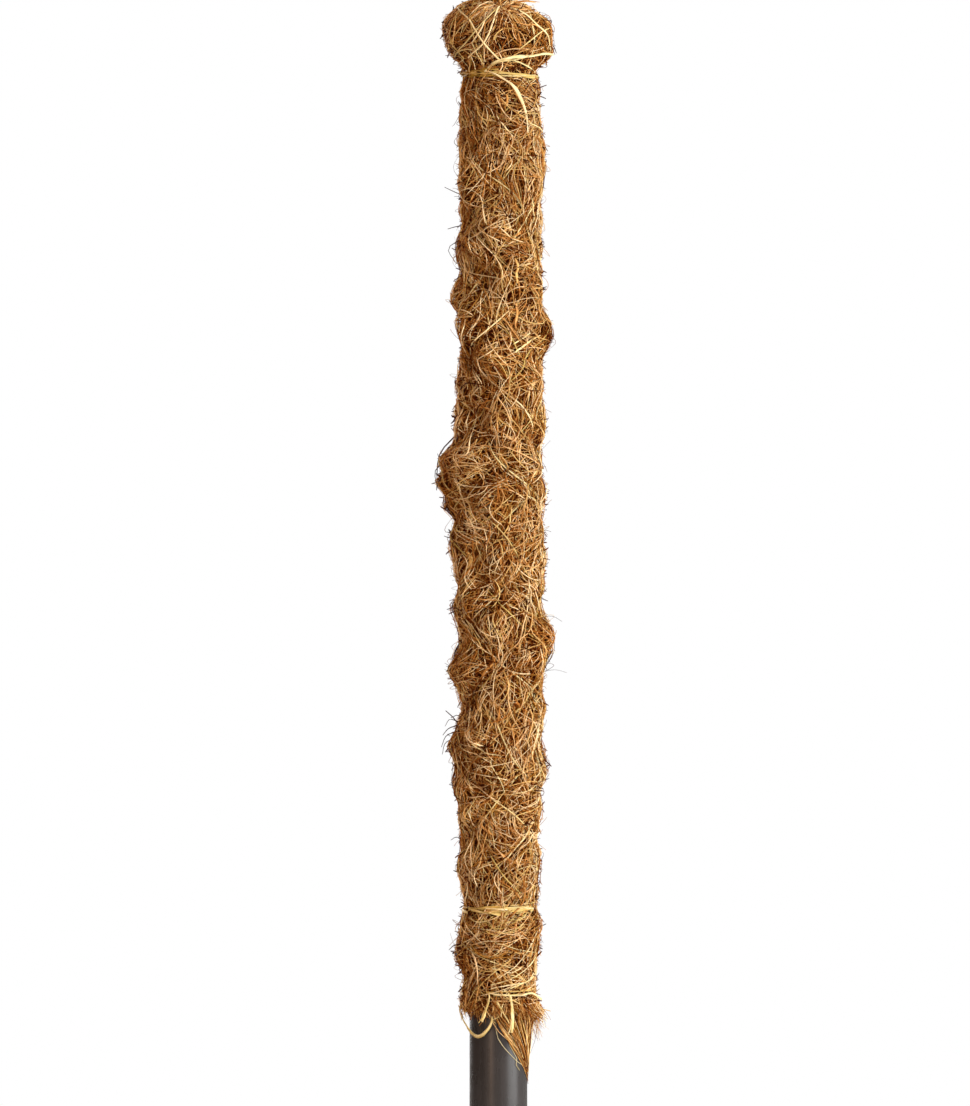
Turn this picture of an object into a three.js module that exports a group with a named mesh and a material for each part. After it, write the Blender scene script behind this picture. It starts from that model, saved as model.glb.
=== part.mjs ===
// A moss pole for climbing house plants: a rigid tube wrapped in coir matting, with a stuffed coir crown
// over its upper end, criss-cross binding threads and three raffia ties. The bare lower end of the tube
// goes into the soil.
// Millimetres, +Z up, the origin at the middle of the tube's lower end. The front of the pole faces -Y.
import * as THREE from 'three';
import { mergeVertices } from 'three/addons/utils/BufferGeometryUtils.js';

// Lengths along the pole, from its foot to its top
const BARE_STAKE = 165; // tube left bare below the hem of the coir
const HEM_DEPTH = 9; // hem to bottom tie
const LOWER_BAND = 36; // bottom tie to lower tie
const QUILT_LENGTH = 359; // lower tie to neck tie, the stretch that the threads bind
const CROWN_HEIGHT = 31; // neck tie to the top of the crown

// Tube
const TUBE_OUTER_RADIUS = 12.5;
const TUBE_WALL = 1.8;
const TUBE_CHAMFER = 0.4;
const TUBE_SIDES = 48;

// Coir mat round the tube: its thickness in four states of squeeze
const GROOVE_THICKNESS = 3.9; // under a binding thread
const LUMP_HEIGHT = 2.7; // swell between the threads
const BAND_THICKNESS = 4.6; // between the two lower ties
const WAIST_THICKNESS = 1.2; // under a tie
const HEM_THICKNESS = 3.5; // at the loose lower edge
const WAIST_REACH = 8; // distance from a tie over which the mat swells back
const BAND_ROWS = 5;

// Tufts that stand out at the sides of the mat: share of the way up from the lower tie to the neck tie,
// degrees round from the front, share of the tallest one's height
const TUFTS = [
	[0.15, -88, 0.5],
	[0.17, 86, 0.25],
	[0.2, -86, 0.5],
	[0.24, 88, 0.25],
	[0.29, -86, 0.5],
	[0.32, 84, 0.55],
	[0.36, -88, 0.5],
	[0.39, 86, 0.3],
	[0.44, -86, 0.45],
	[0.5, -84, 0.7],
	[0.53, -84, 0.8],
	[0.58, 88, 0.35],
	[0.69, 82, 0.65],
	[0.73, -86, 0.2],
	[0.79, -88, 0.2],
	[0.91, 88, 0.2],
];
const TUFT_HEIGHT = 8; // out from the mat
const TUFT_REACH = 8; // along the pole
const TUFT_SPREAD = 36; // degrees round it

// Crown
const CROWN_RADIUS = 23.3;
const CROWN_WIDEST = 19; // height of its widest ring above the neck tie
const CROWN_SHOULDER = 2.5; // exponent of the dome's outline: 2 is an ellipse, more is squarer
const CROWN_TAPER = 1.25; // exponent of the swell from the neck to the widest ring
const DIMPLE_RADIUS = 8; // where the top is gathered
const DIMPLE_DEPTH = 3;
const CROWN_COVER = 5.4; // coir between the dimple and the wad
const CROWN_SIDES = 24;
const CROWN_STEPS = 5; // rings in each stretch of its outline

// Wad of coir that plugs the tube and carries the crown
const WAD_STEM = 20;
const WAD_HEAD = 5;
const WAD_ROUNDING = 2;

// Binding threads: as many wound one way as the other
const THREADS_EACH_WAY = 4;
const THREAD_TURNS = 3;
const THREAD_START_STEPS = 2; // round from the front to the foot of the first thread of each set
const THREAD_DIAMETER = 0.8;
const THREAD_SIDES = 5;
const STEPS_PER_CELL = 4; // points of a thread between neighbours in its own set

// Raffia ties
const TIE_DIAMETER = 1.6;
const TIE_TURNS = 2;
const TIE_GAP = 0.5; // between its turns
const TIE_STEPS = 24; // points in a turn
const TIE_SIDES = 6;
const TAIL_LIFT = 0.5; // extra clearance of a loose end over the lumps
const NECK_TAIL = 23.5; // how far the neck tie's loose end comes down
const LEFT_TAIL = 11.5; // the same for the bottom tie's two ends
const RIGHT_TAIL = 12;

// Broad strand that lies over the front of the crown from the neck tie up to its right side
const CROWN_STRAND_DIAMETER = 1.2;
const CROWN_STRAND_RISE = 10; // above the neck tie
const CROWN_STRAND_STEPS = 20;

// Loose strand and wisp at the hem
const LOOP_DIAMETER = 1;
const LOOP_DROP = 9.6; // below the hem
const LOOP_SIDES = 8;
const LOOP_STEPS = 16;
const WISP_LENGTH = 28;
const WISP_THICKNESS = 1.8;
const WISP_START = 4; // degrees round from the front
const WISP_END = 84;
const WISP_TIP_WIDTH = 6; // degrees
const WISP_RINGS = 6;
const WISP_ARC_POINTS = 7;

// Clearance between neighbouring pieces
const FIT_GAP = 0.3;

// Places worked out from the sizes above
const FRONT = -Math.PI / 2;
const hemZ = BARE_STAKE;
const bottomTieZ = hemZ + HEM_DEPTH;
const lowerTieZ = bottomTieZ + LOWER_BAND;
const neckTieZ = lowerTieZ + QUILT_LENGTH;
const topZ = neckTieZ + CROWN_HEIGHT;
const wadTopZ = topZ - DIMPLE_DEPTH - CROWN_COVER - FIT_GAP;
const tubeTopZ = wadTopZ - WAD_HEAD - FIT_GAP;
const boreRadius = TUBE_OUTER_RADIUS - TUBE_WALL;
const tieHalfHeight = (TIE_TURNS * (TIE_DIAMETER + TIE_GAP) + TIE_DIAMETER) / 2;
const waistHalfHeight = tieHalfHeight + FIT_GAP + THREAD_DIAMETER;
const columns = THREADS_EACH_WAY * STEPS_PER_CELL;
const rows = THREAD_TURNS * columns;
const quiltStartZ = lowerTieZ + waistHalfHeight;
const quiltEndZ = neckTieZ - waistHalfHeight;

// A faceted wall reaches its radius only at its corners, so a wall that goes round another is opened up
const cornerRadius = (radius, sides) => radius / Math.cos(Math.PI / sides);
const matInnerRadius = cornerRadius(TUBE_OUTER_RADIUS + FIT_GAP, columns);
const waistRadius = matInnerRadius + WAIST_THICKNESS;
const tieRadius = cornerRadius(waistRadius + FIT_GAP + TIE_DIAMETER / 2, TIE_STEPS);

const COIR = { color: 0x9a6b3a, roughness: 0.95, metalness: 0 };
const WAD_COIR = { color: 0x7a4f28, roughness: 1, metalness: 0 };
const THREAD = { color: 0xcfa86a, roughness: 0.7, metalness: 0 };
const RAFFIA = { color: 0xe0c27c, roughness: 0.6, metalness: 0 };
const TUBE_PLASTIC = { color: 0x4a4444, roughness: 0.35, metalness: 0 };

const pole = new THREE.Group();

function addPiece(name, geometry, look) {
	const mesh = new THREE.Mesh(closedSurface(geometry), new THREE.MeshStandardMaterial(look));
	mesh.name = name;
	pole.add(mesh);
	return mesh;
}

// Merges the corners that faces share, so that the surface is closed
function closedSurface(geometry) {
	geometry.deleteAttribute('normal');
	geometry.deleteAttribute('uv');
	const merged = mergeVertices(geometry);
	merged.computeVertexNormals();
	return merged;
}

// A point at an angle round the pole's axis
function around(radius, angle, z) {
	return new THREE.Vector3(radius * Math.cos(angle), radius * Math.sin(angle), z);
}

function smooth(t) {
	const s = THREE.MathUtils.clamp(t, 0, 1);
	return s * s * (3 - 2 * s);
}

// A surface through rings of points that run anticlockwise seen from the end that the rings advance to.
// The last ring joins the first if joined, and otherwise both ends are capped.
// leansBack picks a quad's diagonal.
function skin(rings, { joined = false, leansBack = () => false } = {}) {
	const width = rings[0].length;
	const faces = [];
	const spans = joined ? rings.length : rings.length - 1;
	for (let j = 0; j < spans; j++) {
		for (let i = 0; i < width; i++) {
			const a = j * width + i;
			const b = j * width + ((i + 1) % width);
			const c = ((j + 1) % rings.length) * width + ((i + 1) % width);
			const d = ((j + 1) % rings.length) * width + i;
			if (leansBack(i, j)) faces.push(a, b, d, b, c, d);
			else faces.push(a, b, c, a, c, d);
		}
	}
	if (!joined) {
		const last = (rings.length - 1) * width;
		for (let i = 1; i < width - 1; i++) {
			faces.push(0, i + 1, i);
			faces.push(last, last + i, last + i + 1);
		}
	}
	const geometry = new THREE.BufferGeometry().setFromPoints(rings.flat());
	geometry.setIndex(faces);
	return geometry;
}

// A strand of round section through points near the pole, its section upright to the pole's axis
function strand(points, diameter, sides) {
	const rings = points.map((point, k) => {
		const before = points[Math.max(k - 1, 0)];
		const after = points[Math.min(k + 1, points.length - 1)];
		const along = after.clone().sub(before).normalize();
		const outward = new THREE.Vector3(point.x, point.y, 0).normalize();
		const across = new THREE.Vector3().crossVectors(along, outward).normalize();
		const up = new THREE.Vector3().crossVectors(across, along);
		return Array.from({ length: sides }, (_, i) => {
			const turn = (2 * Math.PI * (i + 0.5)) / sides;
			return point
				.clone()
				.addScaledVector(up, (Math.cos(turn) * diameter) / 2)
				.addScaledVector(across, (Math.sin(turn) * diameter) / 2);
		});
	});
	return skin(rings);
}

// Prints the least clear distance between stretches of a strand that lie more than half a turn apart
function reportGap(name, points, diameter, stepsPerTurn) {
	let least = Infinity;
	for (let i = 0; i < points.length; i++) {
		for (let j = i + Math.ceil(stepsPerTurn / 2); j < points.length; j++) {
			least = Math.min(least, points[i].distanceTo(points[j]) - diameter);
		}
	}
	console.log(`${name}: least gap to itself ${least.toFixed(2)} mm`);
}

// Tube: a plain extrusion with both rims chamfered
function tubeGeometry() {
	const inner = boreRadius;
	const outer = TUBE_OUTER_RADIUS;
	const profile = [
		[inner + TUBE_CHAMFER, 0],
		[outer - TUBE_CHAMFER, 0],
		[outer, TUBE_CHAMFER],
		[outer, tubeTopZ - TUBE_CHAMFER],
		[outer - TUBE_CHAMFER, tubeTopZ],
		[inner + TUBE_CHAMFER, tubeTopZ],
		[inner, tubeTopZ - TUBE_CHAMFER],
		[inner, TUBE_CHAMFER],
		[inner + TUBE_CHAMFER, 0],
	];
	return turned(profile, TUBE_SIDES);
}

// A turned solid about the pole's axis from [radius, height] pairs that run outwards and up
function turned(profile, sides) {
	const points = profile.map(([radius, z]) => new THREE.Vector2(radius, z));
	return new THREE.LatheGeometry(points, sides).rotateX(Math.PI / 2);
}

// Mat thickness halfway up between two ties, against the distance from the nearer one
function swellAt(z, lowTieZ, highTieZ) {
	const nearest = Math.min(z - lowTieZ, highTieZ - z) - waistHalfHeight;
	return smooth(nearest / WAIST_REACH);
}

function quiltZ(row) {
	return THREE.MathUtils.lerp(quiltStartZ, quiltEndZ, row / rows);
}

// How far the tufts lift the mat at a point of the threads' lattice
function tuftLift(column, row) {
	const degrees = (360 * column) / columns;
	const lifts = TUFTS.map(([share, angle, tall]) => {
		const apart = THREE.MathUtils.euclideanModulo(degrees - angle + 180, 360) - 180;
		const up = (quiltZ(row) - THREE.MathUtils.lerp(lowerTieZ, neckTieZ, share)) / TUFT_REACH;
		const round = apart / TUFT_SPREAD;
		return TUFT_HEIGHT * tall * Math.exp(-up * up - round * round);
	});
	return lifts.reduce((sum, lift) => sum + lift, 0);
}

// Radius of the quilted coir at a point of the threads' lattice: least along the threads
function quiltRadius(column, row) {
	const step = column - THREAD_START_STEPS;
	const oneWay = Math.abs(Math.sin((Math.PI * (step - row)) / STEPS_PER_CELL));
	const otherWay = Math.abs(Math.sin((Math.PI * (step + row)) / STEPS_PER_CELL));
	const thickness = GROOVE_THICKNESS + LUMP_HEIGHT * oneWay * otherWay + tuftLift(column, row);
	const swell = swellAt(quiltZ(row), lowerTieZ, neckTieZ);
	return matInnerRadius + THREE.MathUtils.lerp(WAIST_THICKNESS, thickness, swell);
}

function columnAngle(column) {
	return FRONT + (2 * Math.PI * column) / columns;
}

function matRing(radiusOf, z) {
	return Array.from({ length: columns }, (_, column) => around(radiusOf(column), columnAngle(column), z));
}

// Coir mat rolled round the tube, drawn in by the ties and quilted by the threads
function sleeveGeometry() {
	const rings = [];
	const addRing = (thickness, z) => rings.push(matRing(() => matInnerRadius + thickness, z));
	addRing(HEM_THICKNESS, hemZ);
	addRing(WAIST_THICKNESS, bottomTieZ - waistHalfHeight);
	for (let k = 0; k <= BAND_ROWS; k++) {
		const z = THREE.MathUtils.lerp(bottomTieZ + waistHalfHeight, lowerTieZ - waistHalfHeight, k / BAND_ROWS);
		const swell = swellAt(z, bottomTieZ, lowerTieZ);
		addRing(THREE.MathUtils.lerp(WAIST_THICKNESS, BAND_THICKNESS, swell), z);
	}
	const firstQuiltRing = rings.length;
	for (let row = 0; row <= rows; row++) {
		rings.push(matRing((column) => quiltRadius(column, row), quiltZ(row)));
	}
	addRing(WAIST_THICKNESS, neckTieZ - FIT_GAP / 2);
	addRing(0, neckTieZ - FIT_GAP / 2);
	addRing(0, hemZ);
	// Each quad's diagonal follows the thread that crosses it
	const leansBack = (column, ring) => {
		const row = ring - firstQuiltRing;
		return THREE.MathUtils.euclideanModulo(column - THREAD_START_STEPS + row + 1, STEPS_PER_CELL) === 0;
	};
	return skin(rings, { joined: true, leansBack });
}

// A thread from the lower tie to the neck tie. The second set lies over the first where they cross.
function threadPoints(startColumn, hand) {
	const points = [];
	for (let row = 0; row <= rows; row++) {
		const column = startColumn + hand * row;
		const over = hand < 0 && row % 2 === 0 ? THREAD_DIAMETER + FIT_GAP : 0;
		const radius = quiltRadius(column, row) + FIT_GAP + THREAD_DIAMETER / 2 + over;
		points.push(around(radius, columnAngle(column), quiltZ(row)));
	}
	return points;
}

function addThreads() {
	for (const [set, hand] of [['right', 1], ['left', -1]]) {
		for (let k = 0; k < THREADS_EACH_WAY; k++) {
			const name = `${set}_hand_thread_${k + 1}`;
			const points = threadPoints(THREAD_START_STEPS + k * STEPS_PER_CELL, hand);
			addPiece(name, strand(points, THREAD_DIAMETER, THREAD_SIDES), THREAD);
			reportGap(name, points, THREAD_DIAMETER, columns);
		}
	}
}

// Turns of a tie about a height, from one angle round to another, climbing at a steady rate
function tiePoints(z, startAngle, endAngle) {
	const sweep = 2 * Math.PI * TIE_TURNS + endAngle - startAngle;
	const steps = Math.ceil((sweep / (2 * Math.PI)) * TIE_STEPS);
	const climb = (sweep / (2 * Math.PI)) * (TIE_DIAMETER + TIE_GAP);
	return Array.from({ length: steps + 1 }, (_, k) => {
		const t = k / steps;
		return around(tieRadius, startAngle + sweep * t, z + climb * (0.5 - t));
	});
}

// Loose end of a tie, seated on the mat's thickness: [degrees from the front, share of its drop] pairs
function tailPoints(z, drop, pairs, thicknessAt) {
	return pairs.map(([degrees, share]) => {
		const height = z - drop * share;
		const radius = matInnerRadius + thicknessAt(height) + FIT_GAP + TIE_DIAMETER / 2 + TAIL_LIFT;
		return around(Math.max(radius, tieRadius), FRONT + THREE.MathUtils.degToRad(degrees), height);
	});
}

function addTie(name, points) {
	addPiece(name, strand(points, TIE_DIAMETER, TIE_SIDES), RAFFIA);
	reportGap(name, points, TIE_DIAMETER, TIE_STEPS);
}

// Neck tie: its cut end is left long and lies down the front of the quilt, over the threads and the lumps
function addNeckTie() {
	const degrees = THREE.MathUtils.degToRad;
	const turns = tiePoints(neckTieZ, FRONT + degrees(-60), FRONT + degrees(8));
	const lowest = turns[turns.length - 1].z;
	const threads = 2 * (THREAD_DIAMETER + FIT_GAP);
	const thicknessAt = (z) => {
		const swell = swellAt(z, lowerTieZ, neckTieZ);
		const groove = THREE.MathUtils.lerp(WAIST_THICKNESS, GROOVE_THICKNESS, swell);
		return Math.max(groove + LUMP_HEIGHT * swell, groove + threads);
	};
	const route = [[15, 0.06], [23, 0.18], [30, 0.36], [35, 0.56], [38, 0.78], [41, 1]];
	const tail = tailPoints(lowest, NECK_TAIL, route, thicknessAt);
	addTie('neck_tie', [...turns, ...tail]);
}

function addLowerTie() {
	addTie('lower_tie', tiePoints(lowerTieZ, FRONT, FRONT));
}

// Bottom tie: both ends hang down in front of the hem, and the first comes down over the turns
function addBottomTie() {
	const degrees = THREE.MathUtils.degToRad;
	const left = -14;
	const right = 22;
	const turns = tiePoints(bottomTieZ, FRONT + degrees(left), FRONT + degrees(right));
	const first = turns[0].z;
	const last = turns[turns.length - 1].z;
	const thicknessAt = (z) => {
		const t = (bottomTieZ - waistHalfHeight - z) / (HEM_DEPTH - waistHalfHeight);
		return THREE.MathUtils.lerp(WAIST_THICKNESS, HEM_THICKNESS, THREE.MathUtils.clamp(t, 0, 1));
	};
	const pitch = TIE_DIAMETER + TIE_GAP;
	const overTurns = [[-12, 2, 1.1], [-11, 1, 1.1], [-8, 0.3, 0.9], [-4, 0, 0.4]];
	const leftRoute = [[left - 15, 1], [left - 14, 0.7], [left - 13, 0.4]];
	const rightRoute = [[right + 3, 0.25], [right + 4, 0.6], [right + 4, 1]];
	const firstTail = [
		...tailPoints(last, LEFT_TAIL, leftRoute, thicknessAt),
		...overTurns.map(([turn, drop, lift]) =>
			around(tieRadius + lift * pitch, FRONT + degrees(left + turn), first - drop * pitch),
		),
	];
	const lastTail = tailPoints(last, RIGHT_TAIL, rightRoute, thicknessAt);
	addTie('bottom_tie', [...firstTail, ...turns, ...lastTail]);
}

// Outline of the crown from the neck to the middle of its dimple, as [radius, height] pairs
function crownOutline() {
	const neck = neckTieZ + waistHalfHeight;
	const widest = neckTieZ + CROWN_WIDEST;
	const outline = [[waistRadius, neckTieZ + FIT_GAP / 2]];
	for (let k = 0; k < CROWN_STEPS; k++) {
		const t = k / CROWN_STEPS;
		const swell = Math.sin((t * Math.PI) / 2) ** CROWN_TAPER;
		const radius = THREE.MathUtils.lerp(waistRadius, CROWN_RADIUS, swell);
		outline.push([radius, THREE.MathUtils.lerp(neck, widest, t)]);
	}
	for (let k = 0; k < CROWN_STEPS; k++) {
		const turn = (k / CROWN_STEPS) * (Math.PI / 2);
		const radius = DIMPLE_RADIUS + (CROWN_RADIUS - DIMPLE_RADIUS) * Math.cos(turn) ** (2 / CROWN_SHOULDER);
		outline.push([radius, widest + (topZ - widest) * Math.sin(turn) ** (2 / CROWN_SHOULDER)]);
	}
	for (let k = 0; k <= CROWN_STEPS; k++) {
		const t = k / CROWN_STEPS;
		outline.push([DIMPLE_RADIUS * (1 - t), topZ - DIMPLE_DEPTH * smooth(t)]);
	}
	return outline;
}

// Crown: a thick coir cap with a bore for the tube and the wad's head
function crownGeometry() {
	const bore = cornerRadius(TUBE_OUTER_RADIUS + FIT_GAP, CROWN_SIDES);
	const roof = wadTopZ + FIT_GAP;
	const inside = [[0, roof], [bore, roof], [bore, neckTieZ + FIT_GAP / 2]];
	return turned([...inside, ...crownOutline()], CROWN_SIDES);
}

// Wad: a stem in the tube's mouth under a rounded head as wide as the tube
function wadGeometry() {
	const stem = boreRadius * Math.cos(Math.PI / TUBE_SIDES) - FIT_GAP;
	const head = TUBE_OUTER_RADIUS;
	const underside = tubeTopZ + FIT_GAP;
	const profile = [
		[0, tubeTopZ - WAD_STEM],
		[stem, tubeTopZ - WAD_STEM],
		[stem, underside],
		[head, underside],
		[head, wadTopZ - WAD_ROUNDING],
		[head - WAD_ROUNDING, wadTopZ],
		[0, wadTopZ],
	];
	return turned(profile, CROWN_SIDES);
}

// A lashing over the crown from side to side of the neck, lifted at its middle to pass over another
function lashingPoints(angle, lift) {
	const offset = FIT_GAP + THREAD_DIAMETER / 2;
	const outline = crownOutline().map(([radius, z]) => new THREE.Vector2(radius, z));
	const rising = outline.slice(1).map((point, k, list) => {
		const before = outline[k];
		const after = list[Math.min(k + 1, list.length - 1)];
		const along = after.clone().sub(before).normalize();
		const middle = smooth(1 - point.x / DIMPLE_RADIUS);
		const side = k === list.length - 1 ? new THREE.Vector2(0, 1) : new THREE.Vector2(along.y, -along.x);
		return point.clone().addScaledVector(side, offset).add(new THREE.Vector2(0, lift * middle));
	});
	const nearSide = rising.map((point) => around(point.x, angle, point.y));
	const farSide = rising.slice(0, -1).reverse().map((point) => around(point.x, angle + Math.PI, point.y));
	return [...nearSide, ...farSide];
}

// A strand whose section stays square to its path, for a path that passes over the pole's axis
function overheadStrand(points, diameter, sides, angle) {
	const across = around(1, angle + Math.PI / 2, 0);
	const rings = points.map((point, k) => {
		const before = points[Math.max(k - 1, 0)];
		const after = points[Math.min(k + 1, points.length - 1)];
		const along = after.clone().sub(before).normalize();
		const up = new THREE.Vector3().crossVectors(across, along);
		return Array.from({ length: sides }, (_, i) => {
			const turn = (2 * Math.PI * (i + 0.5)) / sides;
			return point
				.clone()
				.addScaledVector(up, (Math.cos(turn) * diameter) / 2)
				.addScaledVector(across, (Math.sin(turn) * diameter) / 2);
		});
	});
	return skin(rings);
}

// Two lashings cross over the gathered top, the second over the first. They lie along corners of the crown.
function addCrownLashings() {
	const corner = (2 * Math.PI) / CROWN_SIDES;
	const angles = [FRONT - 2 * corner, FRONT + 3 * corner];
	angles.forEach((angle, k) => {
		const points = lashingPoints(angle, k * (THREAD_DIAMETER + FIT_GAP));
		addPiece(`crown_lashing_${k + 1}`, overheadStrand(points, THREAD_DIAMETER, THREAD_SIDES, angle), THREAD);
	});
}

// Radius of the crown's outside at a height below its widest ring
function crownRadiusAt(z) {
	const outline = crownOutline();
	const above = outline.findIndex(([, height]) => height >= z);
	const [lowRadius, low] = outline[above - 1];
	const [highRadius, high] = outline[above];
	return THREE.MathUtils.mapLinear(z, low, high, lowRadius, highRadius);
}

// Broad strand over the crown's front, lifted where it passes over the second lashing. The crown's flank
// leans out at about 45 degrees there, so a clearance is longer when it is measured level.
function crownStrandGeometry() {
	const route = [[-14, 0.42], [-3, 0.57], [16, 0.74], [42, 0.86], [80, 1]];
	const places = route.map(([degrees, share]) => new THREE.Vector3(degrees, share, 0));
	const course = new THREE.CatmullRomCurve3(places);
	const lashingDegrees = (3 * 360) / CROWN_SIDES;
	const points = course.getPoints(CROWN_STRAND_STEPS).map(({ x: degrees, y: share }) => {
		const z = neckTieZ + CROWN_STRAND_RISE * share;
		const over = (THREAD_DIAMETER + FIT_GAP) * smooth(2 - Math.abs(degrees - lashingDegrees) / 9);
		const clear = FIT_GAP + CROWN_STRAND_DIAMETER / 2 + over;
		return around(crownRadiusAt(z) + clear * Math.SQRT2, FRONT + THREE.MathUtils.degToRad(degrees), z);
	});
	return strand(points, CROWN_STRAND_DIAMETER, TIE_SIDES);
}

// Loose strand that hangs below the hem at the front left, from beside the hem to under it:
// [degrees from the front, share of the way from the tube to past the hem, height as a share of the drop]
function hemLoopGeometry() {
	const clear = FIT_GAP + LOOP_DIAMETER / 2;
	const hemEdge = matInnerRadius + HEM_THICKNESS;
	const route = [
		[-76, 0.85, 0.35],
		[-72, 1.08, 0.1],
		[-64, 1.08, -0.21],
		[-54, 0.88, -0.6],
		[-45, 0.7, -0.88],
		[-36, 0.62, -1],
		[-27, 0.6, -0.93],
		[-18, 0.58, -0.69],
		[-12, 0.52, -0.4],
		[-10, 0.48, -0.085],
	];
	const points = route.map(([degrees, share, rise]) => {
		const radius = THREE.MathUtils.lerp(TUBE_OUTER_RADIUS + clear, hemEdge + clear, share);
		return around(radius, FRONT + THREE.MathUtils.degToRad(degrees), hemZ + rise * LOOP_DROP);
	});
	const path = new THREE.CatmullRomCurve3(points);
	console.log(`hem_loop: length ${path.getLength().toFixed(1)} mm`);
	const section = new THREE.Shape().absarc(0, 0, LOOP_DIAMETER / 2, 0, 2 * Math.PI);
	return new THREE.ExtrudeGeometry(section, {
		steps: LOOP_STEPS,
		curveSegments: LOOP_SIDES / 2,
		extrudePath: path,
		bevelEnabled: false,
	});
}

// Wisp of combed-down coir that narrows to a point against the tube
function hemWispGeometry() {
	const inner = cornerRadius(TUBE_OUTER_RADIUS + FIT_GAP, TUBE_SIDES);
	const rings = [];
	for (let k = 0; k <= WISP_RINGS; k++) {
		const t = k / WISP_RINGS;
		const z = hemZ - FIT_GAP - WISP_LENGTH * t;
		const start = THREE.MathUtils.lerp(WISP_START, WISP_END - WISP_TIP_WIDTH, t);
		const outer = inner + WISP_THICKNESS * (1 - t / 2);
		const angles = Array.from({ length: WISP_ARC_POINTS }, (_, i) => {
			const degrees = THREE.MathUtils.lerp(start, WISP_END, i / (WISP_ARC_POINTS - 1));
			return FRONT + THREE.MathUtils.degToRad(degrees);
		});
		const back = angles.map((angle) => around(cornerRadius(inner, TUBE_SIDES / 2), angle, z));
		const face = angles.map((angle) => around(outer, angle, z)).reverse();
		rings.push([...back, ...face]);
	}
	return skin(rings);
}

addPiece('core_tube', tubeGeometry(), TUBE_PLASTIC);
addPiece('crown_wad', wadGeometry(), WAD_COIR);
addPiece('coir_sleeve', sleeveGeometry(), COIR);
addPiece('coir_crown', crownGeometry(), COIR);
addThreads();
addNeckTie();
addLowerTie();
addBottomTie();
addCrownLashings();
addPiece('crown_strand', crownStrandGeometry(), RAFFIA);
addPiece('hem_loop', hemLoopGeometry(), RAFFIA);
addPiece('hem_wisp', hemWispGeometry(), COIR);

export default pole;
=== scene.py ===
"""A moss pole: coir matting and a coir crown on a dark plastic tube, bound with thread, tied with raffia."""
import math

import bpy
import numpy as np
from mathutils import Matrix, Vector


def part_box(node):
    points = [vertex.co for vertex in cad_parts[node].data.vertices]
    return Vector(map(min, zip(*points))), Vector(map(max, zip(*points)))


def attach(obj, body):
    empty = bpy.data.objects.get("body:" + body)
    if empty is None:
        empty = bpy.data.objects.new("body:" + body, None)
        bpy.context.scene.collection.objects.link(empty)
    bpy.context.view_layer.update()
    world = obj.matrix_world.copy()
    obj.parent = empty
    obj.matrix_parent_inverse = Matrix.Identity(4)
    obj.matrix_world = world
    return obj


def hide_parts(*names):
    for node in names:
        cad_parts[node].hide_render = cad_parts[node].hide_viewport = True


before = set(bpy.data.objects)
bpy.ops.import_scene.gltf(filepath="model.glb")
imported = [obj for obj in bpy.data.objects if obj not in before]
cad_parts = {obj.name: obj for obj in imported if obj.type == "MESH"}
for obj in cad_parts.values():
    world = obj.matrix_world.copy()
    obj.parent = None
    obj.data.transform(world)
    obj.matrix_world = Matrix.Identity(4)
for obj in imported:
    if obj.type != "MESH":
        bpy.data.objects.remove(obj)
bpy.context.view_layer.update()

# Sizes in millimetres, heights from the foot of the tube
MM = 0.001
TUBE_RADIUS = 12.5
TUBE_WALL = 1.8
TUBE_BEVEL = 0.4
HEM_Z = 165.0
BOTTOM_TIE_Z = 174.0
LOWER_TIE_Z = 210.0
NECK_Z = 569.0
TOP_Z = 600.0
NECK_WAIST = 14.7
LOWER_WAIST = 14.2
BOTTOM_WAIST = 14.9
TIE_HALF = 0.8
WAIST_REACH = 8.0
MAT_RADIUS = 17.0
BAND_RADIUS = 16.4
HEM_RADIUS = 16.6
MAT_DEPTH = 1.5
LEAN = 0.6
CROWN_RADIUS = 22.9
CROWN_FOOT_Z = NECK_Z + 2.0
CROWN_WIDEST_Z = 588.0
CROWN_RIM_Z = TOP_Z - 0.8
DIMPLE_RADIUS = 7.0
DIMPLE_DEPTH = 2.6
GATHER_RADIUS = 17.0
GATHER_ANGLE = math.radians(2.0)
GATHER_RIGHT = GATHER_RADIUS * math.sin(GATHER_ANGLE)
GATHER_FRONT = GATHER_RADIUS * math.cos(GATHER_ANGLE)

# Quilting by the threads: cells round and along the mat, and how far the threads stray from even cells
QUILT_START_Z = LOWER_TIE_Z + 4.0
QUILT_LENGTH = NECK_Z - 4.0 - QUILT_START_Z
QUILT_COLUMNS = 16
QUILT_ROWS = 48
CELL_STEPS = 4
FIRST_COLUMN = 2
COLUMN_WARP = 0.2
ROW_WARP = 0.7
LUMP_HEIGHT = 4.0

# Fibres: places along each, its thickness there, and how many tones there are
FIBRE_STEPS = 8
FIBRE_MIDDLE = FIBRE_STEPS // 2
FIBRE_T = np.linspace(0, 1, FIBRE_STEPS)
FIBRE_TAPER = np.array([0.35, 0.8, 1.0, 1.0, 1.0, 0.95, 0.8, 0.3])
TAIL_TAPER = np.linspace(1, 0.45, FIBRE_STEPS)
FIBRE_CURL = 0.9
FIBRES_IN_A_PIECE = 4400
TONES = 40
GOLDEN_ANGLE = math.radians(137.508)

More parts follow.
